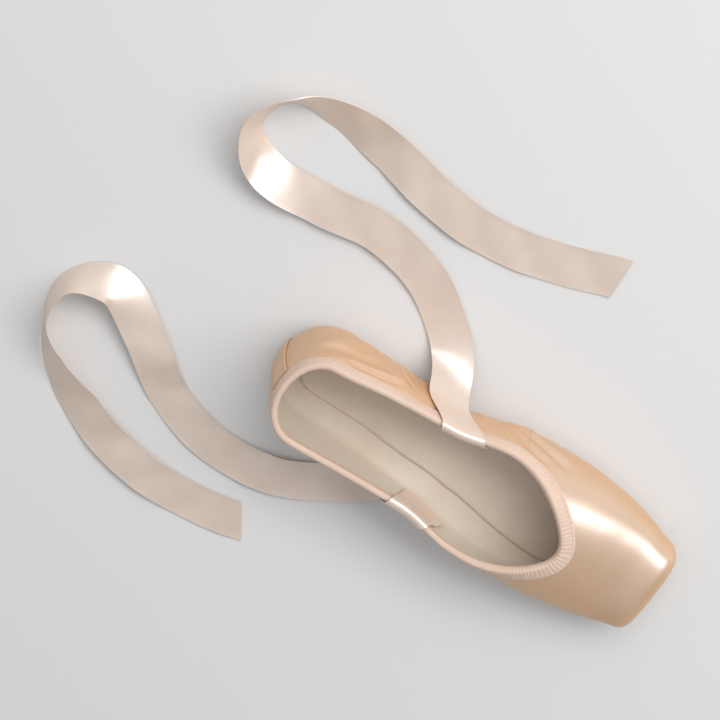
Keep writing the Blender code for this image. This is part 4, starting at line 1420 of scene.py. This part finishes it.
@dataclass
class HeelStrip(Piece):
    """The satin strip over the back seam, sewn down along both edges."""

    width: float = 0.0130
    foot: float = 0.0035
    stop: float = 0.0074
    rows: int = 84
    columns: int = 22
    rise: float = 0.00095
    thickness: float = 0.0007

    def build(self) -> tuple[bpy.types.Object, list[tuple[Vector, Vector, Vector]]]:
        """Lays the strip up the back of the heel.

        Returns:
            The strip and the places of its stitches.
        """
        column = self.last.rib((Station.HEEL, 0.0), count=400)
        column[:, 1] = 0
        along = distances(column)
        low = float(np.interp(self.last.bottom(0) + self.foot, column[:, 2], along))
        line = resample(column, np.linspace(low, along[-1] - self.stop, self.rows), along)
        shares = np.linspace(-1, 1, self.columns)
        points, cloth, stitches = [], [], []
        for i, place in enumerate(line):
            t = i / (self.rows - 1)
            row = []
            for share in shares:
                q, n = self.surface.walk(Vector(place), Vector((0, 1, 0)), share * self.width / 2) if abs(
                    share) > 1e-3 else self.surface.nearest(Vector(place))
                hem = ease((1 - abs(share)) / 0.10)
                turned = 0.00018 * math.exp(-(((abs(share) - 0.86) / 0.10) ** 2))
                seam = -0.00024 * math.exp(-(((abs(share) - 0.72) / 0.05) ** 2))
                fold = 0.00034 * math.exp(-(((t - 0.70 - 0.05 * share) / 0.022) ** 2)) * (1 - 0.3 * share)
                dip = -0.00022 * math.exp(-(((t - 0.655 - 0.05 * share) / 0.02) ** 2))
                puckers = 0.00007 * math.sin(t * 96 + 2.1 * math.sin(9 * t)) * ease((abs(share) - 0.45) / 0.3)
                off = 0.00042 + (self.rise - 0.00042) * hem + turned + seam + fold + dip + puckers
                row.append(q + n * off)
                if i % 4 == 2 and abs(abs(share) - 0.714) < 0.03:
                    stitches.append((q + n * (off + 0.00008) + Vector(self.last.shift), Vector((0.1, 0, 1)), n))
            points.append(row)
            cloth.append([(share * self.width / 2, low + t * (along[-1] - low)) for share in shares])
        strip = lay_grid("heel_strip_satin", np.array(points) + self.last.shift, np.array(cloth))
        weld(strip, recalculate=False)
        self.face_out(strip)
        thicken(strip, self.thickness)
        return strip, stitches

    def face_out(self, strip: bpy.types.Object) -> None:
        """Turns the open sheet's faces away from the heel."""
        back = sum(face.normal.x for face in strip.data.polygons)
        if back > 0:
            only(strip)
            bpy.ops.object.mode_set(mode="EDIT")
            bpy.ops.mesh.select_all(action="SELECT")
            bpy.ops.mesh.flip_normals()
            bpy.ops.object.mode_set(mode="OBJECT")

    def dress(self, satin: Finish, thread: Finish) -> None:
        """Builds the strip with its stitches and gives them their finishes."""
        strip, stitches = self.build()
        strip.data.materials.append(satin.material(self.kit))
        smooth(strip, 60)
        self.hand_over(strip, "satin", "heel_strip")
        sewing = Stitch(length=0.0016, radius=0.00016).sew("heel_strip_stitches", stitches)
        sewing.data.materials.append(thread.material(self.kit))
        self.hand_over(sewing, "satin")


@dataclass
class Outsole(Piece):
    """The leather outsole, pared thin round its edge."""

    thickness: float = 0.0022
    edge: float = 0.0010
    skive: float = 0.0040
    gap: float = 0.0003
    rows: int = 190
    columns: int = 44

    def build(self) -> bpy.types.Object:
        """Cuts and pares the leather.

        Returns:
            The closed outsole.
        """
        last = self.last
        shares = (1 - np.cos(math.pi * np.linspace(0, 1, self.rows))) / 2
        across = np.sin(math.pi / 2 * np.linspace(-1, 1, self.columns))
        reach = last.sole_front - last.sole_back
        points, cloth, rims = [], [], []
        for share in shares:
            x = last.sole_back + reach * share
            half = last.sole_half(x)
            top = last.bottom(x) - self.gap
            rim = np.minimum(half * (1 - np.abs(across)), 0.55 * min(x - last.sole_back, last.sole_front - x))
            thin = (self.thickness - self.edge) * (1 - soft_steps(rim / self.skive))
            channel = 0.00022 * np.exp(-(((rim - 0.0031) / 0.00055) ** 2))
            below = [(x, y, top - self.thickness + t + c) for y, t, c in zip(half * across, thin, channel)]
            above = [(x, y, top) for y in half * across[::-1]]
            points.append(below + above + below[:1])
            cloth.append([(p[0], p[1]) for p in points[-1]])
            rims.append([*rim, *rim[::-1], rim[0]])
        points = np.array(points)
        points[0, :, 2] = points[-1, :, 2] = last.bottom(0) - self.gap - self.edge / 2
        marks = {"from_edge": np.array(rims)}
        outsole = lay_grid("leather_outsole", points + last.shift, np.array(cloth), marks)
        weld(outsole)
        return outsole

    def dress(self, leather: Finish) -> None:
        """Builds the outsole and gives it its finish."""
        outsole = self.build()
        outsole.data.materials.append(leather.material(self.kit))
        smooth(outsole, 40)
        self.hand_over(outsole, "sole_leather", "outsole")


@dataclass
class Insole(Piece):
    """The insole inside, covered with cotton cloth."""

    thickness: float = 0.0020
    lift: float = 0.0008
    gap: float = 0.0003
    setback: float = 0.0145
    edge: float = 0.0005
    columns: int = 40

    def outline(self) -> list[tuple[float, float, float]]:
        """The insole's x, half width and top height from the heel to its front."""
        last, rows = self.last, []
        stations: list[Rib] = [(Station.HEEL, math.pi / 2 * i / 30) for i in range(30)]
        stations += [(Station.BODY, float(x)) for x in np.linspace(last.heel_radius, last.tip_start, 110)[:-1]]
        for kind, at in stations:
            line = last.rib((kind, at), whole=True, count=110)
            here = at if kind is Station.BODY else last.heel_radius
            level = last.bottom(here) + last.wall(here) + self.lift
            slope = unit(np.gradient(line, axis=0))
            before = None
            for p, tangent in zip(line, slope):
                _, out = self.surface.nearest(Vector(p))
                out = (out - Vector(tangent) * out.dot(Vector(tangent))).normalized()
                inside = Vector(p) - out * last.wall(p[0])
                if inside.z >= level - self.gap and (inside - Vector(line[0])).length > 0.004:
                    if before is not None and inside.z > before.z:
                        inside = before.lerp(inside, (level - self.gap - before.z) / (inside.z - before.z))
                    rows.append((inside.x, abs(inside.y) - 2 * self.gap, level + self.thickness))
                    break
                before = inside
        front = last.length - self.setback
        rows = [row for row in rows if row[0] < front - 0.0005 and row[1] > 0.004]
        rows.append((front, rows[-1][1], rows[-1][2]))
        shaped = []
        for x, half, top in rows:
            nose = (front - x) / 0.012
            round_off = 1 if nose >= 1 else 0.72 + 0.28 * math.sqrt(max(0.0, 1 - (1 - nose) ** 2))
            shaped.append((x + self.gap, half * round_off, top))
        return shaped

    def build(self) -> bpy.types.Object:
        """Covers the board.

        Returns:
            The closed insole.
        """
        rows = self.outline()
        across = np.sin(math.pi / 2 * np.linspace(-1, 1, self.columns))
        points = []
        for i, (x, half, top) in enumerate(rows):
            side = half * (1 - np.abs(across))
            rim = np.minimum(side, 0.0012 if 0 < i < len(rows) - 1 else 0)
            drop = self.edge * (1 - soft_steps(rim / 0.0012))
            above = [(x, y, top - d) for y, d in zip(half * across, drop)]
            below = [(x, y, top - self.thickness) for y in half * across[::-1]]
            points.append(above + below + above[:1])
        caps = [np.array(points[0]), np.array(points[-1])]
        for cap in caps:
            cap[:, 2] = cap[:, 2].mean()
            cap[:, 1] *= 0.9
        points = np.array([caps[0], *points, caps[1]])
        for cap in (0, -1):
            flat = points[cap]
            count = self.columns
            flat[count:2 * count] = flat[:count][::-1]
            flat[-1] = flat[0]
        insole = lay_grid("cloth_insole", points + self.last.shift, points[..., :2])
        weld(insole)
        return insole

    def dress(self, cloth: Finish) -> None:
        """Builds the insole and gives it its finish."""
        insole = self.build()
        insole.data.materials.append(cloth.material(self.kit))
        smooth(insole, 50)
        self.hand_over(insole, "lining", "insole")


@dataclass(frozen=True)
class Lie:
    """Where a loose ribbon lies: x from the heel's back, y outwards, its height, and its roll in degrees."""

    x: float
    y: float
    height: float
    roll: float


@dataclass
class Ribbon(Piece):
    """One satin ribbon: sewn inside the quarter, over the collar and down, then lying loose beside the shoe."""

    side: int = 1
    lie: tuple[Lie, ...] = ()
    width: float = 0.022
    length: float = 0.460
    thickness: float = 0.00035
    exit: float = 0.098
    sewn: float = 0.024
    drop: float = 0.023
    step_down: float = 0.0040
    slant: float = math.radians(22)
    curve_gap: float = 0.0005
    solid_thickness: float = 0.0005
    leg: float = 0.0070
    step: float = 0.0085
    fine: float = 0.0016
    columns: int = 15
    floor_gap: float = 0.0003
    wave: float = 0.00055

    @property
    def stand_off(self) -> float:
        """How far the ribbon's middle is from the wall where it lies over the binding."""
        return 2 * self.curve_gap + 0.0007 + self.solid_thickness / 2

    def over_rim(self, rim: Rim, shift: float, across_edge: float) -> tuple[Vector, Vector]:
        """A place on the way over the collar.

        Args:
            rim: The collar's edge.
            shift: How far behind the ribbon's exit it lies along the edge.
            across_edge: The distance from the top of the binding, negative inside the shoe.

        Returns:
            The place and the direction out of the ribbon.
        """
        x = self.exit - shift
        edge, ahead, behind = (
            Vector(self.last.rib((Station.BODY, at), count=3)[-1] * (1, self.side, 1)) for at in (x, x + 0.001, x - 0.001)
        )
        place = rim.place(edge, (ahead - behind).normalized())
        radius = place.wall / 2 + self.stand_off
        turn = across_edge / radius
        if abs(turn) <= math.pi / 2:
            normal = place.out * math.sin(turn) - place.away * math.cos(turn)
            return place.point - place.out * (place.wall / 2) + normal * radius, normal
        depth = abs(across_edge) - radius * math.pi / 2
        q, n = self.surface.walk(place.point, place.away, depth)
        near = self.curve_gap * (1 if across_edge > 0 else 2) + self.solid_thickness / 2
        gap = 0.0003
        off = self.stand_off - (self.stand_off - near) * ease((depth - self.leg - gap) / (self.step_down - gap))
        if across_edge > 0:
            return q + n * off, n
        return q - n * (place.wall + off), -n

    def on_shoe(self, rim: Rim, shares: np.ndarray) -> tuple[list[list[tuple[Vector, Vector]]], list[float]]:
        """Rows across the ribbon where it is on the shoe, and how far along the ribbon each row is."""
        lean, spread = math.tan(self.slant), self.width / math.cos(self.slant)
        fold = (self.last.quarter_wall / 2 + self.stand_off) * math.pi / 2
        inside = np.linspace(-fold - self.sewn, -fold, 22)[:-1]
        outside = np.linspace(fold, fold + self.drop, 20)[1:]
        stops = [*inside, *np.linspace(-fold, fold, 13), *outside]
        rows = [[self.over_rim(rim, e * lean + s * spread, e) for s in shares] for e in stops]
        return rows, [float(e) for e in stops]

    def route(self, centre: Vector, before: Vector) -> list[tuple[Vector, float]]:
        """Places along the ribbon's loose part, each with its fractional row in the list of lies."""
        stops = [Vector((row.x, self.side * row.y, row.height)) for row in self.lie]
        points = [before, centre] + stops + [2 * stops[-1] - stops[-2]]
        line: list[tuple[Vector, float]] = []
        for i in range(1, len(points) - 2):
            p, a, b, n = points[i - 1:i + 3]
            for k in range(24):
                t = k / 24
                curve = (2 * p - 5 * a + 4 * b - n) * t * t + (3 * a - p - 3 * b + n) * t**3
                line.append((0.5 * (2 * a + (b - p) * t + curve), i - 1 + t))
        line.append((points[-2], len(points) - 3))
        places = np.array([p for p, _ in line])
        along = distances(places)
        free = self.length - self.sewn - self.drop
        reach = min(round(free / self.step) * along[-1] / (round(along[-1] / self.step) - 1), along[-1])
        at = np.linspace(0, reach, round(reach / self.fine))
        rows = np.interp(at, along, [r for _, r in line])
        return [(Vector(p), float(r)) for p, r in zip(resample(places, at, along), rows)]

    def loose(self, rows: list[list[tuple[Vector, Vector]]], shares: np.ndarray) -> list[list[tuple[Vector, Vector]]]:
        """Rows across the ribbon where it hangs free and lies."""
        middle = len(shares) // 2
        centre, out = rows[-1][middle]
        across = (rows[-1][-1][0] - rows[-1][0][0]).normalized()
        path = self.route(centre, rows[-1 - 3][middle][0])
        stops = [(0, math.radians(self.lie[0].roll))]
        rolls = through(stops + [(i + 1, math.radians(row.roll)) for i, row in enumerate(self.lie)])
        free: list[list[tuple[Vector, Vector]]] = []
        before = out
        for i in range(1, len(path)):
            place, at = path[i]
            heading = (path[min(i + 1, len(path) - 1)][0] - path[i - 1][0]).normalized()
            flat = Vector((-heading.y, heading.x, 0)).normalized()
            roll = rolls(at)
            lying = flat * (self.side * math.cos(roll)) + Vector((0, 0, math.sin(roll)))
            share = ease(at / 1.6)
            width = (across * (1 - share) + lying * share).normalized()
            face = heading.cross(width).normalized()
            face = -face if face.dot(before) < 0 else face
            before = face
            width = width * (self.width / max(0.8, (width - heading * width.dot(heading)).length))
            low = abs(width.z) / 2 + self.thickness / 2 + self.floor_gap * 0.3
            place = Vector((place.x, place.y, place.z + low if at > 1 else max(place.z, low)))
            free.append([(place + width * (s / 1.0), face) for s in shares])
        return free

    @staticmethod
    def relax(points: np.ndarray, first: int, last: int, rounds: int = 30) -> np.ndarray:
        """Lets the ribbon find a smooth way between two of its rows."""
        rows = np.arange(len(points))
        free = soft_steps((rows - first) / 5) * soft_steps((last - rows) / 5)
        for _ in range(rounds):
            even_out = points.copy()
            even_out[1:-1] = (points[:-2] + 2 * points[1:-1] + points[2:]) / 4
            points = points + (even_out - points) * free[:, None, None]
        return points

    @staticmethod
    def out_of(points: np.ndarray, before: np.ndarray) -> np.ndarray:
        """The directions out of the ribbon's upper face."""
        out = unit(np.cross(np.gradient(points, axis=0), np.gradient(points, axis=1)))
        return out * np.sign((out * before).sum(axis=2, keepdims=True))

    def build(self) -> tuple[bpy.types.Object, list[tuple[Vector, Vector, Vector]]]:
        """Lays the ribbon.

        Returns:
            The ribbon and the places of the stitches at its sewn end.
        """
        shares = np.linspace(-0.5, 0.5, self.columns)
        rows, stops = self.on_shoe(Rim(self.surface), shares)
        loose = self.loose(rows, shares)
        rows = rows + loose
        points = np.array([[place for place, _ in row] for row in rows])
        faces = np.array([[face for _, face in row] for row in rows])
        points = self.relax(points, len(stops) - 19, len(stops) + 18)
        faces = self.out_of(points, faces)
        middle = distances(points[:, self.columns // 2])
        along = middle[:, None] + np.zeros(len(shares))[None, :]
        selvedge = np.exp(-((0.5 - np.abs(shares)) / 0.03) ** 2) * 0.00008
        ripple = 0.00012 * np.sin(along * 310 + 2 * np.sin(along * 90)) * np.abs(shares)[None, :] * 2
        calm = soft_steps((along - 0.062) / 0.02)
        wave = np.sin(along * 118 + 1.7 * np.sin(along * 31)) + 0.5 * np.sin(along * 201 + 4 * shares[None, :])
        ripple = ripple + self.wave * (1 + 0.67 * wave)
        points = points + faces * (selvedge + ripple * calm)[..., None]
        points[-1] += (points[-1] - points[-2]) * (4.0 * (shares[:, None] + 0.5))
        points[-2] += (points[-1] - points[-2]) * 0.5
        cloth = np.stack([shares[None, :] * self.width + np.zeros_like(along), along], axis=2)
        name = "ribbon_left_satin" if self.side > 0 else "ribbon_right_satin"
        ribbon = lay_grid(name, points + self.last.shift, cloth)
        only(ribbon)
        wall = ribbon.modifiers.new("thickness", "SOLIDIFY")
        wall.thickness, wall.offset = self.thickness, 0
        bpy.ops.object.modifier_apply(modifier=wall.name)
        weld(ribbon)
        stitches = []
        for i in (2, 12):
            for j in range(1, self.columns - 1):
                place, face = rows[i][j]
                run = (rows[i][j + 1][0] - rows[i][j - 1][0]).normalized()
                stitches.append((place + face * (self.thickness / 2 + 0.00006) + Vector(self.last.shift), run, face))
        return ribbon, stitches

    def dress(self, satin: Finish, thread: Finish) -> None:
        """Builds the ribbon with its stitches and gives them their finishes."""
        ribbon, stitches = self.build()
        ribbon.data.materials.append(satin.material(self.kit))
        smooth(ribbon, 60)
        node = "ribbon_left" if self.side > 0 else "ribbon_right"
        self.hand_over(ribbon, "ribbon_satin", node)
        sewing = Stitch(length=0.0011, radius=0.00014).sew(f"{node}_stitches", stitches)
        sewing.data.materials.append(thread.material(self.kit))
        self.hand_over(sewing, "ribbon_satin")


# The studio


@dataclass(frozen=True)
class Studio:
    """A pale floor, a pale room, a large soft light on the near side and a camera at the photograph's angle."""

    azimuth: float = math.radians(105)
    elevation: float = math.radians(68)
    roll: float = math.radians(199)
    reach: float = 1.30
    lens: float = 126.0
    aim: tuple[float, float, float] = (-0.079, 0.018, 0.012)
    key_from: tuple[float, float, float] = (0.22, 0.66, 0.72)
    key_reach: float = 1.7
    key_size: tuple[float, float] = (2.2, 0.75)
    key_power: float = 20.5
    floor_size: float = 6.0
    room: tuple[float, float] = (0.31, 0.72)
    room_axis: tuple[float, float, float] = (0.0, 0.6, 0.8)

    def camera(self) -> None:
        """Sets up the camera."""
        away = Vector((
            math.cos(self.elevation) * math.cos(self.azimuth),
            math.cos(self.elevation) * math.sin(self.azimuth),
            math.sin(self.elevation),
        ))
        right = Vector((0, 0, 1)).cross(away).normalized()
        up = away.cross(right)
        turned = right * math.cos(self.roll) + up * math.sin(self.roll)
        head = up * math.cos(self.roll) - right * math.sin(self.roll)
        place = Matrix((turned, head, away)).transposed().to_4x4()
        place.translation = Vector(self.aim) + away * self.reach
        deselect()
        bpy.ops.object.camera_add()
        camera = bpy.context.object
        camera.matrix_world = place
        camera.data.lens, camera.data.sensor_width = self.lens, 36
        camera.data.clip_start, camera.data.clip_end = 0.05, 20
        bpy.context.scene.camera = camera

    def area(self, name: str, direction: Vector, reach: float, size: tuple[float, float], power: float,
             tint: Sequence[float]) -> None:
        """Adds a soft light that looks at the shoe, its long side along the shoe."""
        bpy.ops.object.light_add(type="AREA", radius=1)
        light = bpy.context.object
        light.name = light.data.name = name
        light.data.shape = "RECTANGLE"
        light.data.size, light.data.size_y = size
        light.data.energy, light.data.color = power, tint
        away = direction.normalized()
        along = Vector((0, 1, 0)).cross(away).normalized() if abs(away.y) < 0.1 else Vector((1, 0, 0))
        along = (along - away * along.dot(away)).normalized()
        place = Matrix((along, away.cross(along), away)).transposed().to_4x4()
        place.translation = Vector(self.aim) + away * reach
        light.matrix_world = place

    def build(self) -> None:
        """Builds the floor, the lights, the room's colour and the camera."""
        deselect()
        bpy.ops.mesh.primitive_plane_add(size=self.floor_size, location=(0, 0, -0.0002))
        floor = bpy.context.object
        floor.name = "floor"
        material = bpy.data.materials.new("pale_floor")
        material.use_nodes = True
        shader = material.node_tree.nodes["Principled BSDF"]
        shader.inputs["Base Color"].default_value = (0.78, 0.78, 0.78, 1)
        shader.inputs["Roughness"].default_value = 0.9
        floor.data.materials.append(material)
        world = bpy.data.worlds.new("pale_room")
        world.use_nodes = True
        nodes, links = world.node_tree.nodes, world.node_tree.links
        nodes["Background"].inputs["Color"].default_value = (0.98, 0.985, 1.0, 1)
        way, part, shade = (nodes.new(f"ShaderNode{kind}") for kind in ("TexCoord", "VectorMath", "MapRange"))
        part.operation = "DOT_PRODUCT"
        part.inputs[1].default_value = self.room_axis
        links.new(way.outputs["Generated"], part.inputs[0])
        links.new(part.outputs["Value"], shade.inputs["Value"])
        shade.interpolation_type = "SMOOTHSTEP"
        shade.inputs["From Min"].default_value, shade.inputs["From Max"].default_value = 0.15, 0.95
        shade.inputs["To Min"].default_value, shade.inputs["To Max"].default_value = self.room
        links.new(shade.outputs["Result"], nodes["Background"].inputs["Strength"])
        bpy.context.scene.world = world
        self.area("key_light", Vector(self.key_from), self.key_reach, self.key_size, self.key_power, (1.0, 0.99, 0.975))
        bpy.context.scene.view_settings.view_transform = "Standard"
        self.camera()


CREASES = (
    Crease(Fold.TROUGH, 1, (0.130, 0.012), (0.160, 0.036), 0.0040, 0.0017, 0.0030),
    Crease(Fold.TUCK, 1, (0.140, 0.010), (0.172, 0.027), 0.0036, 0.0013, 0.0022),
    Crease(Fold.TUCK, 1, (0.134, 0.024), (0.156, 0.040), 0.0030, 0.0009, 0.0012),
    Crease(Fold.TROUGH, 1, (0.118, 0.026), (0.136, 0.038), 0.0040, 0.0008, 0.0010),
    Crease(Fold.TROUGH, -1, (0.124, 0.009), (0.160, 0.034), 0.0050, 0.0012, 0.0026),
    Crease(Fold.TUCK, -1, (0.140, 0.008), (0.164, 0.028), 0.0040, 0.0010, 0.0018),
    Crease(Fold.TROUGH, -1, (0.116, 0.028), (0.132, 0.038), 0.0040, 0.0007, 0.0010),
    Crease(Fold.TROUGH, 1, (0.030, 0.040), (0.062, 0.026), 0.0034, 0.0009, 0.0020),
    Crease(Fold.TUCK, 1, (0.044, 0.041), (0.074, 0.031), 0.0030, 0.0006, 0.0026),
    Crease(Fold.RIDGE, 1, (0.022, 0.034), (0.048, 0.018), 0.0040, 0.0007, 0.0024),
    Crease(Fold.TROUGH, -1, (0.026, 0.038), (0.060, 0.030), 0.0034, 0.0009, -0.0020),
    Crease(Fold.TUCK, -1, (0.042, 0.042), (0.070, 0.031), 0.0030, 0.0006, 0.0022),
)


LEFT_LIE = (
    Lie(0.078, 0.0420, 0.0050, 4), Lie(0.064, 0.0560, 0.0004, 0), Lie(0.040, 0.0720, 0.0010, 0),
    Lie(0.008, 0.0790, 0.0030, 0), Lie(-0.026, 0.0740, 0.0012, 6), Lie(-0.056, 0.0740, 0.0, 30),
    Lie(-0.076, 0.0900, 0.0, 68), Lie(-0.070, 0.1110, 0.0, 74), Lie(-0.046, 0.1210, 0.0, 40),
    Lie(-0.012, 0.1180, 0.0, 8), Lie(0.022, 0.1110, 0.0028, 0), Lie(0.056, 0.1090, 0.0008, 0),
    Lie(0.090, 0.1160, 0.0, 0), Lie(0.120, 0.1270, 0.0, 0),
)
RIGHT_LIE = (
    Lie(0.077, 0.0420, 0.0050, 4), Lie(0.061, 0.0550, 0.0004, 0), Lie(0.034, 0.0680, 0.0022, 0),
    Lie(0.000, 0.0720, 0.0008, 0), Lie(-0.034, 0.0620, 0.0, 0), Lie(-0.062, 0.0400, 0.0024, -8),
    Lie(-0.088, 0.0240, 0.0, -34), Lie(-0.110, 0.0330, 0.0, -70), Lie(-0.112, 0.0560, 0.0, -74),
    Lie(-0.094, 0.0780, 0.0, -44), Lie(-0.066, 0.0960, 0.0, -10), Lie(-0.034, 0.1060, 0.0026, 0),
    Lie(0.000, 0.1080, 0.0006, 0), Lie(0.034, 0.1020, 0.0, 0), Lie(0.064, 0.0900, 0.0, 0),
)

SATIN = Finish(
    "peach_satin", (0.74, 0.45, 0.24, 1), (0.64, 0.37, 0.185, 1), (0.34, 0.44), relief=0.00002,
    specular=0.6, metallic=0.10, coat=(1.0, 0.33, 4.0), coat_fades=0.8,
    crumple=0.00016, crumple_size=0.007,
)
SATIN_TIP = Finish(
    "peach_satin_tip", (0.74, 0.45, 0.24, 1), (0.64, 0.37, 0.185, 1), (0.34, 0.44), relief=0.00002,
    specular=0.6, metallic=0.10, coat=(1.0, 0.34, 4.0), coat_fades=0.8, coordinates=Coordinates.OBJECT,
)
TAPE = Finish(
    "gathered_tape", (0.84, 0.66, 0.55, 1), (0.70, 0.50, 0.38, 1), (0.55, 0.75), Cloth.PLAIN.value,
    ("Threads", 2600.0), 0.00006, sheen=0.4, specular=0.3,
)
LEATHER = ScoredLeather(
    "scored_leather", (0.66, 0.46, 0.32, 1), (0.46, 0.29, 0.17, 1), (0.50, 0.72), "leather_grain",
    ("Pebble", 0.0009), 0.00008, Coordinates.OBJECT, specular=0.35,
)
COTTON = Finish(
    "cotton_lining", (0.80, 0.72, 0.62, 1), (0.66, 0.56, 0.46, 1), (0.80, 0.95), Cloth.PLAIN.value,
    ("Threads", 1900.0), 0.00010, sheen=0.3, specular=0.2,
)
RIBBON_SATIN = Finish(
    "pale_ribbon_satin", (0.88, 0.72, 0.60, 1), (0.72, 0.54, 0.42, 1), (0.30, 0.40), relief=0.00002,
    measure=("Threads", 6000.0), specular=0.8, metallic=0.08, coat=(1.0, 0.30, 3.0), coat_fades=0.7,
)
THREAD = Finish(
    "sewing_thread", (0.78, 0.58, 0.45, 1), (0.62, 0.42, 0.30, 1), (0.45, 0.60), relief=0.00002, sheen=0.2,
)


def main() -> None:
    """Builds the shoe's sub-assemblies in the order a maker puts them together, then the studio."""
    logging.basicConfig(level=logging.INFO, format="%(name)s: %(message)s")
    kit = NodeKit()
    kit.build()
    surface = LastSurface(Last())
    Insole(surface, kit).dress(COTTON)
    Upper(surface, kit, creases=CREASES).dress(SATIN, COTTON, SATIN_TIP)
    Outsole(surface, kit).dress(LEATHER)
    HeelStrip(surface, kit).dress(SATIN, THREAD)
    Binding(surface, kit).dress(TAPE, THREAD)
    Ribbon(surface, kit, side=1, lie=LEFT_LIE).dress(RIBBON_SATIN, THREAD)
    Ribbon(surface, kit, side=-1, lie=RIGHT_LIE).dress(RIBBON_SATIN, THREAD)
    Studio().build()


if __name__ == "__main__":
    main()
